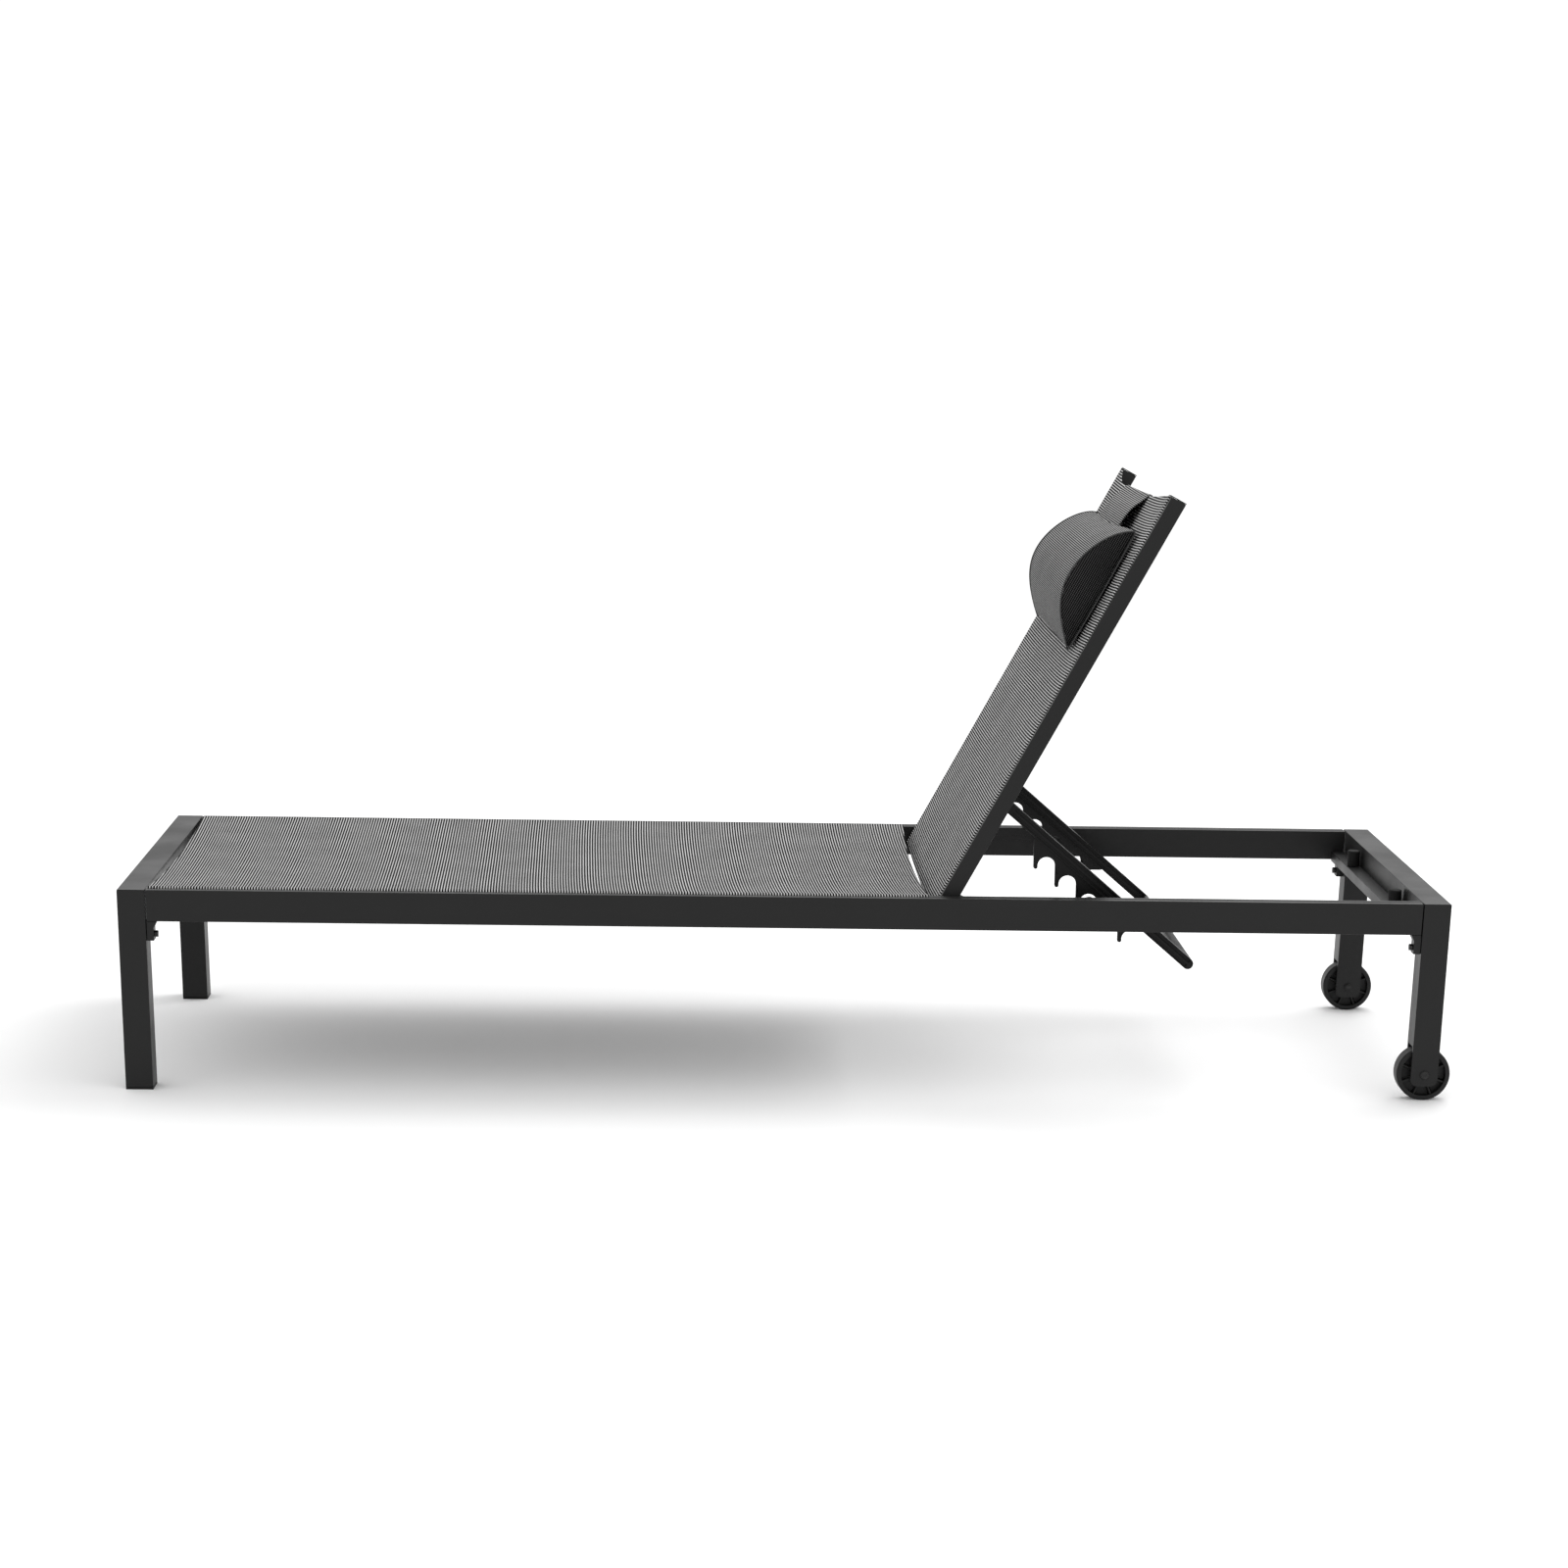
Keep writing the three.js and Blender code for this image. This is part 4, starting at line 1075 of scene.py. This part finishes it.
        obj.data.vertices.foreach_set("co", placed.astype(np.float32).ravel())
        obj.data.update()

    def lay_cloth(self, obj: bpy.types.Object) -> None:
        """Gives the pillow its cloth coordinates and sorts its faces into body and end panels.

        On the body they are Y and the arc length round the front, or the distance up the back. On
        an end panel they are the distance up the board and the distance off it.
        """
        mesh = obj.data
        count = len(mesh.polygons)
        normals, centres = np.empty(count * 3), np.empty(count * 3)
        mesh.polygons.foreach_get("normal", normals)
        mesh.polygons.foreach_get("center", centres)
        normals = normals.reshape(-1, 3)
        face_local = self.board.read(centres.reshape(-1, 3))
        out_normal = normals[:, 2] * math.cos(self.board.tilt) - normals[:, 0] * math.sin(self.board.tilt)
        near_end = np.abs(face_local[:, 1] - self.middle) > self.half - self.end_reach
        is_end = (np.abs(normals[:, 1]) > 0.62) & near_end
        is_back = (out_normal < -0.5) & (face_local[:, 2] < self.low[2] + 5 * MM)
        flat = np.empty(len(mesh.vertices) * 3)
        mesh.vertices.foreach_get("co", flat)
        local = self.board.read(flat.reshape(-1, 3))
        front = self.outline(0, self.depth)[: self.around]
        run = np.concatenate([[0], np.cumsum(np.linalg.norm(np.diff(front, axis=0), axis=1))])
        order = np.argsort(front[:, 0])
        arc = np.interp(local[:, 0], front[order, 0], run[order])
        corners = np.empty(len(mesh.loops), int)
        mesh.loops.foreach_get("vertex_index", corners)
        totals = np.empty(count, int)
        mesh.polygons.foreach_get("loop_total", totals)
        owner = np.repeat(np.arange(count), totals)
        corner_local = local[corners]
        u = corner_local[:, 1] - self.middle
        v = np.where(is_back[owner], -corner_local[:, 0], arc[corners])
        u = np.where(is_end[owner], corner_local[:, 0], u)
        v = np.where(is_end[owner], corner_local[:, 2], v)
        layer = mesh.uv_layers.new(name="cloth")
        layer.uv.foreach_set("vector", np.stack([u, v], -1).astype(np.float32).ravel())
        mesh.materials.clear()
        mesh.materials.append(self.body_cloth)
        mesh.materials.append(self.end_cloth)
        mesh.polygons.foreach_set("material_index", is_end.astype(np.int32))
        mesh.polygons.foreach_set("use_smooth", np.ones(count, bool))
        mesh.update()

    def trim(self, side: Side) -> bpy.types.Object:
        """Makes the piping round one end panel.

        Args:
            side: Which end.

        Returns:
            The piping.
        """
        ring = self.outline(2.0 * MM, self.depth * (self.fullness + 0.005))
        step = np.linalg.norm(np.diff(ring, axis=0, append=ring[:1]), axis=1)
        run = np.concatenate([[0], np.cumsum(step)])
        closed = np.concatenate([ring, ring[:1]])
        even = np.linspace(0, run[-1], 181)[:-1]
        ring = np.stack([np.interp(even, run, closed[:, k]) for k in range(2)], -1)
        weight = np.array([1, 2, 3, 2, 1]) / 9
        ring = sum(w * np.roll(ring, k - 2, 0) for k, w in enumerate(weight))
        y = self.middle + side.value * (self.half - 2.6 * MM - self.tucked(ring[:, 1]))
        path = self.board.place(ring[:, 0] - self.lean(ring[:, 0], y), y, ring[:, 1])
        trim = hoop(f"bolster_piping_{side.name.lower()}", path, self.piping)
        trim.data.materials.append(self.piping_cloth)
        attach(trim, "headrest")
        return trim

    def build(self) -> bpy.types.Object:
        """Makes the pillow and its piping."""
        self.measure()
        obj = self.cover()
        self.even_mesh(obj)
        self.fill(obj)
        self.lay_cloth(obj)
        smooth = obj.modifiers.new("smooth", "SUBSURF")
        smooth.levels = smooth.render_levels = 1
        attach(obj, "headrest")
        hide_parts("headrest_pillow")
        for side in Side:
            LOG.info("%s", self.trim(side).name)
        LOG.info("bolster: %d faces", len(obj.data.polygons))
        return obj


# ------------------------------------------------------------------ the lounger


@dataclass
class Lounger:
    """The whole lounger: the frame's joints give the boards, and the boards give the rest."""

    finishes: dict[str, bpy.types.Material] = field(default_factory=dict)

    def mix_finishes(self) -> None:
        """Makes one material for each of the record's slots, and those of the cushion's parts."""
        looks = {
            "frame_powder_coat": PowderCoat("anthracite_powder_coat", 0.009, 0.42),
            "fastener_steel": DarkSteel("blackened_steel"),
            "black_plastic": Moulding("black_plastic", 0.006, 0.5, gloss=0.25),
            "prop_plastic": Moulding("glossy_black_plastic", 0.004, 0.36, gloss=0.16),
            "wheel_plastic": Moulding("wheel_plastic", 0.006, 0.45, gloss=0.25),
            "buffer_rubber": Moulding("buffer_rubber", 0.006, 0.75, depth=0.05 * MM, gloss=0.2),
            "sling_textile": StripedWeave(
                "striped_sling", light=0.54, dark=0.003, pitch=4.1 * MM, warp=1.6 * MM, share=0.5
            ),
            "pillow_textile": StripedWeave(
                "pillow_cloth", 0.31, 0.003, 3.1 * MM, 1.6 * MM, share=0.35, tie=0.2, seam_at=0.2195
            ),
            "pillow_end": StripedWeave(
                "pillow_end_mesh", 0.075, 0.002, 3.1 * MM, 2.6 * MM, share=0.2, tie=0.9, gloss=0.05
            ),
            "strap_textile": StripedWeave(
                "strap_cloth", 0.36, 0.003, 3.2 * MM, 1.6 * MM, share=0.35, tie=0.2
            ),
            "piping": Moulding("piping_cloth", 0.06, 0.8, depth=0.12 * MM, gloss=0.15),
        }
        self.finishes = {slot: look.make() for slot, look in looks.items()}

    def seat_board(self) -> Board:
        """Returns the seat's board, from the foot end, flat."""
        return Board(float(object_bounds()[0][0]), 0.0, 0.0)

    def back_board(self) -> Board:
        """Returns the backrest's board, through its pivot, tilted as the headrest slides."""
        joints = {joint["name"]: joint for joint in frame["record"]["behaviour"]["joints"]}
        pivot, up = joints["backrest_recline"]["pos_m"], joints["headrest_slide"]["axis"]
        return Board(pivot[0], pivot[2], math.atan2(up[2], up[0]))

    def seat_sling(self, board: Board) -> Sling:
        """Returns the seat's sling, with a shallow hollow in its head edge."""
        spline_low, spline_high = board.extent("seat_spline_right")
        rail_low, rail_high = board.extent("side_rail_right")
        edge = float(rail_low[1])
        return Sling(
            name="seat_textile",
            node="seat_sling",
            body="frame",
            board=board,
            groove=float(spline_low[1] + spline_high[1]) / 2,
            edge=edge,
            face=float(rail_high[2]),
            start=float(spline_low[0]),
            end=float(spline_high[0]) + 3 * MM,
            start_dip=lambda y: 3 * MM * np.clip(1 - (y / edge) ** 2, 0, 1),
            end_dip=lambda y: 6 * MM * np.clip(1 - (y / edge) ** 2, 0, 1),
            material=self.finishes["sling_textile"],
            rests_on=["side_rail_left", "side_rail_right"],
            rows=330,
        )

    def back_sling(self, board: Board) -> Sling:
        """Returns the backrest's sling, whose top edge is drawn down where the strap crosses it."""
        spline_low, spline_high = board.extent("backrest_spline_right")
        rail_low, rail_high = board.extent("backrest_rail_right")
        strap_low, strap_high = board.extent("headrest_strap")
        groove = float(spline_low[1] + spline_high[1]) / 2
        strap_middle = (strap_low[1] + strap_high[1]) / 2
        marks = [-groove, strap_low[1], strap_middle, strap_high[1], groove - 40 * MM, groove]
        dips = [0.0, 17 * MM, 20 * MM, 22 * MM, 21 * MM, 0.0]

        def top_dip(y: np.ndarray) -> np.ndarray:
            """Returns the drop of the top edge: straight between its marks, softened."""
            shifts = np.linspace(-0.03, 0.03, 7)
            soft = sum(np.interp(y + shift, marks, dips) for shift in shifts) / len(shifts)
            return soft * ease(np.abs(y), groove, groove - 0.03)

        return Sling(
            name="backrest_textile",
            node="backrest_sling",
            body="backrest",
            board=board,
            groove=groove,
            edge=float(rail_low[1]),
            face=float(rail_high[2]),
            start=float(spline_low[0]),
            end=float(rail_high[0]),
            start_dip=lambda y: -5 * MM * np.clip(1 - (y / groove) ** 2, 0, 1),
            start_sag=2 * MM,
            skew=0.0125,
            start_bow=5 * MM,
            end_bow=5 * MM,
            end_dip=top_dip,
            material=self.finishes["sling_textile"],
            rests_on=["backrest_rail_left", "backrest_rail_right"],
            rows=220,
        )

    def build(self) -> None:
        """Makes the lounger piece by piece."""
        self.mix_finishes()
        seat, back = self.seat_board(), self.back_board()
        HardPieces(self.finishes).build()
        self.seat_sling(seat).build()
        back_sling = self.back_sling(back)
        back_sling.build()
        pillow_low, pillow_high = back.extent("headrest_pillow")
        start = float(pillow_low[0] + 0.25 * (pillow_high[0] - pillow_low[0]))
        Strap(back, back_sling, self.finishes["strap_textile"], start).build()
        covers = (self.finishes[name] for name in ("pillow_textile", "pillow_end", "piping"))
        Bolster(back, *covers).build()


def main() -> None:
    """Builds the camera, the stage and the lounger."""
    logging.basicConfig(level=logging.INFO, format="%(name)s %(message)s")
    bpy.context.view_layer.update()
    Viewpoint().build()
    Stage().build()
    Lounger().build()
    bpy.context.view_layer.update()


if __name__ == "__main__":
    main()
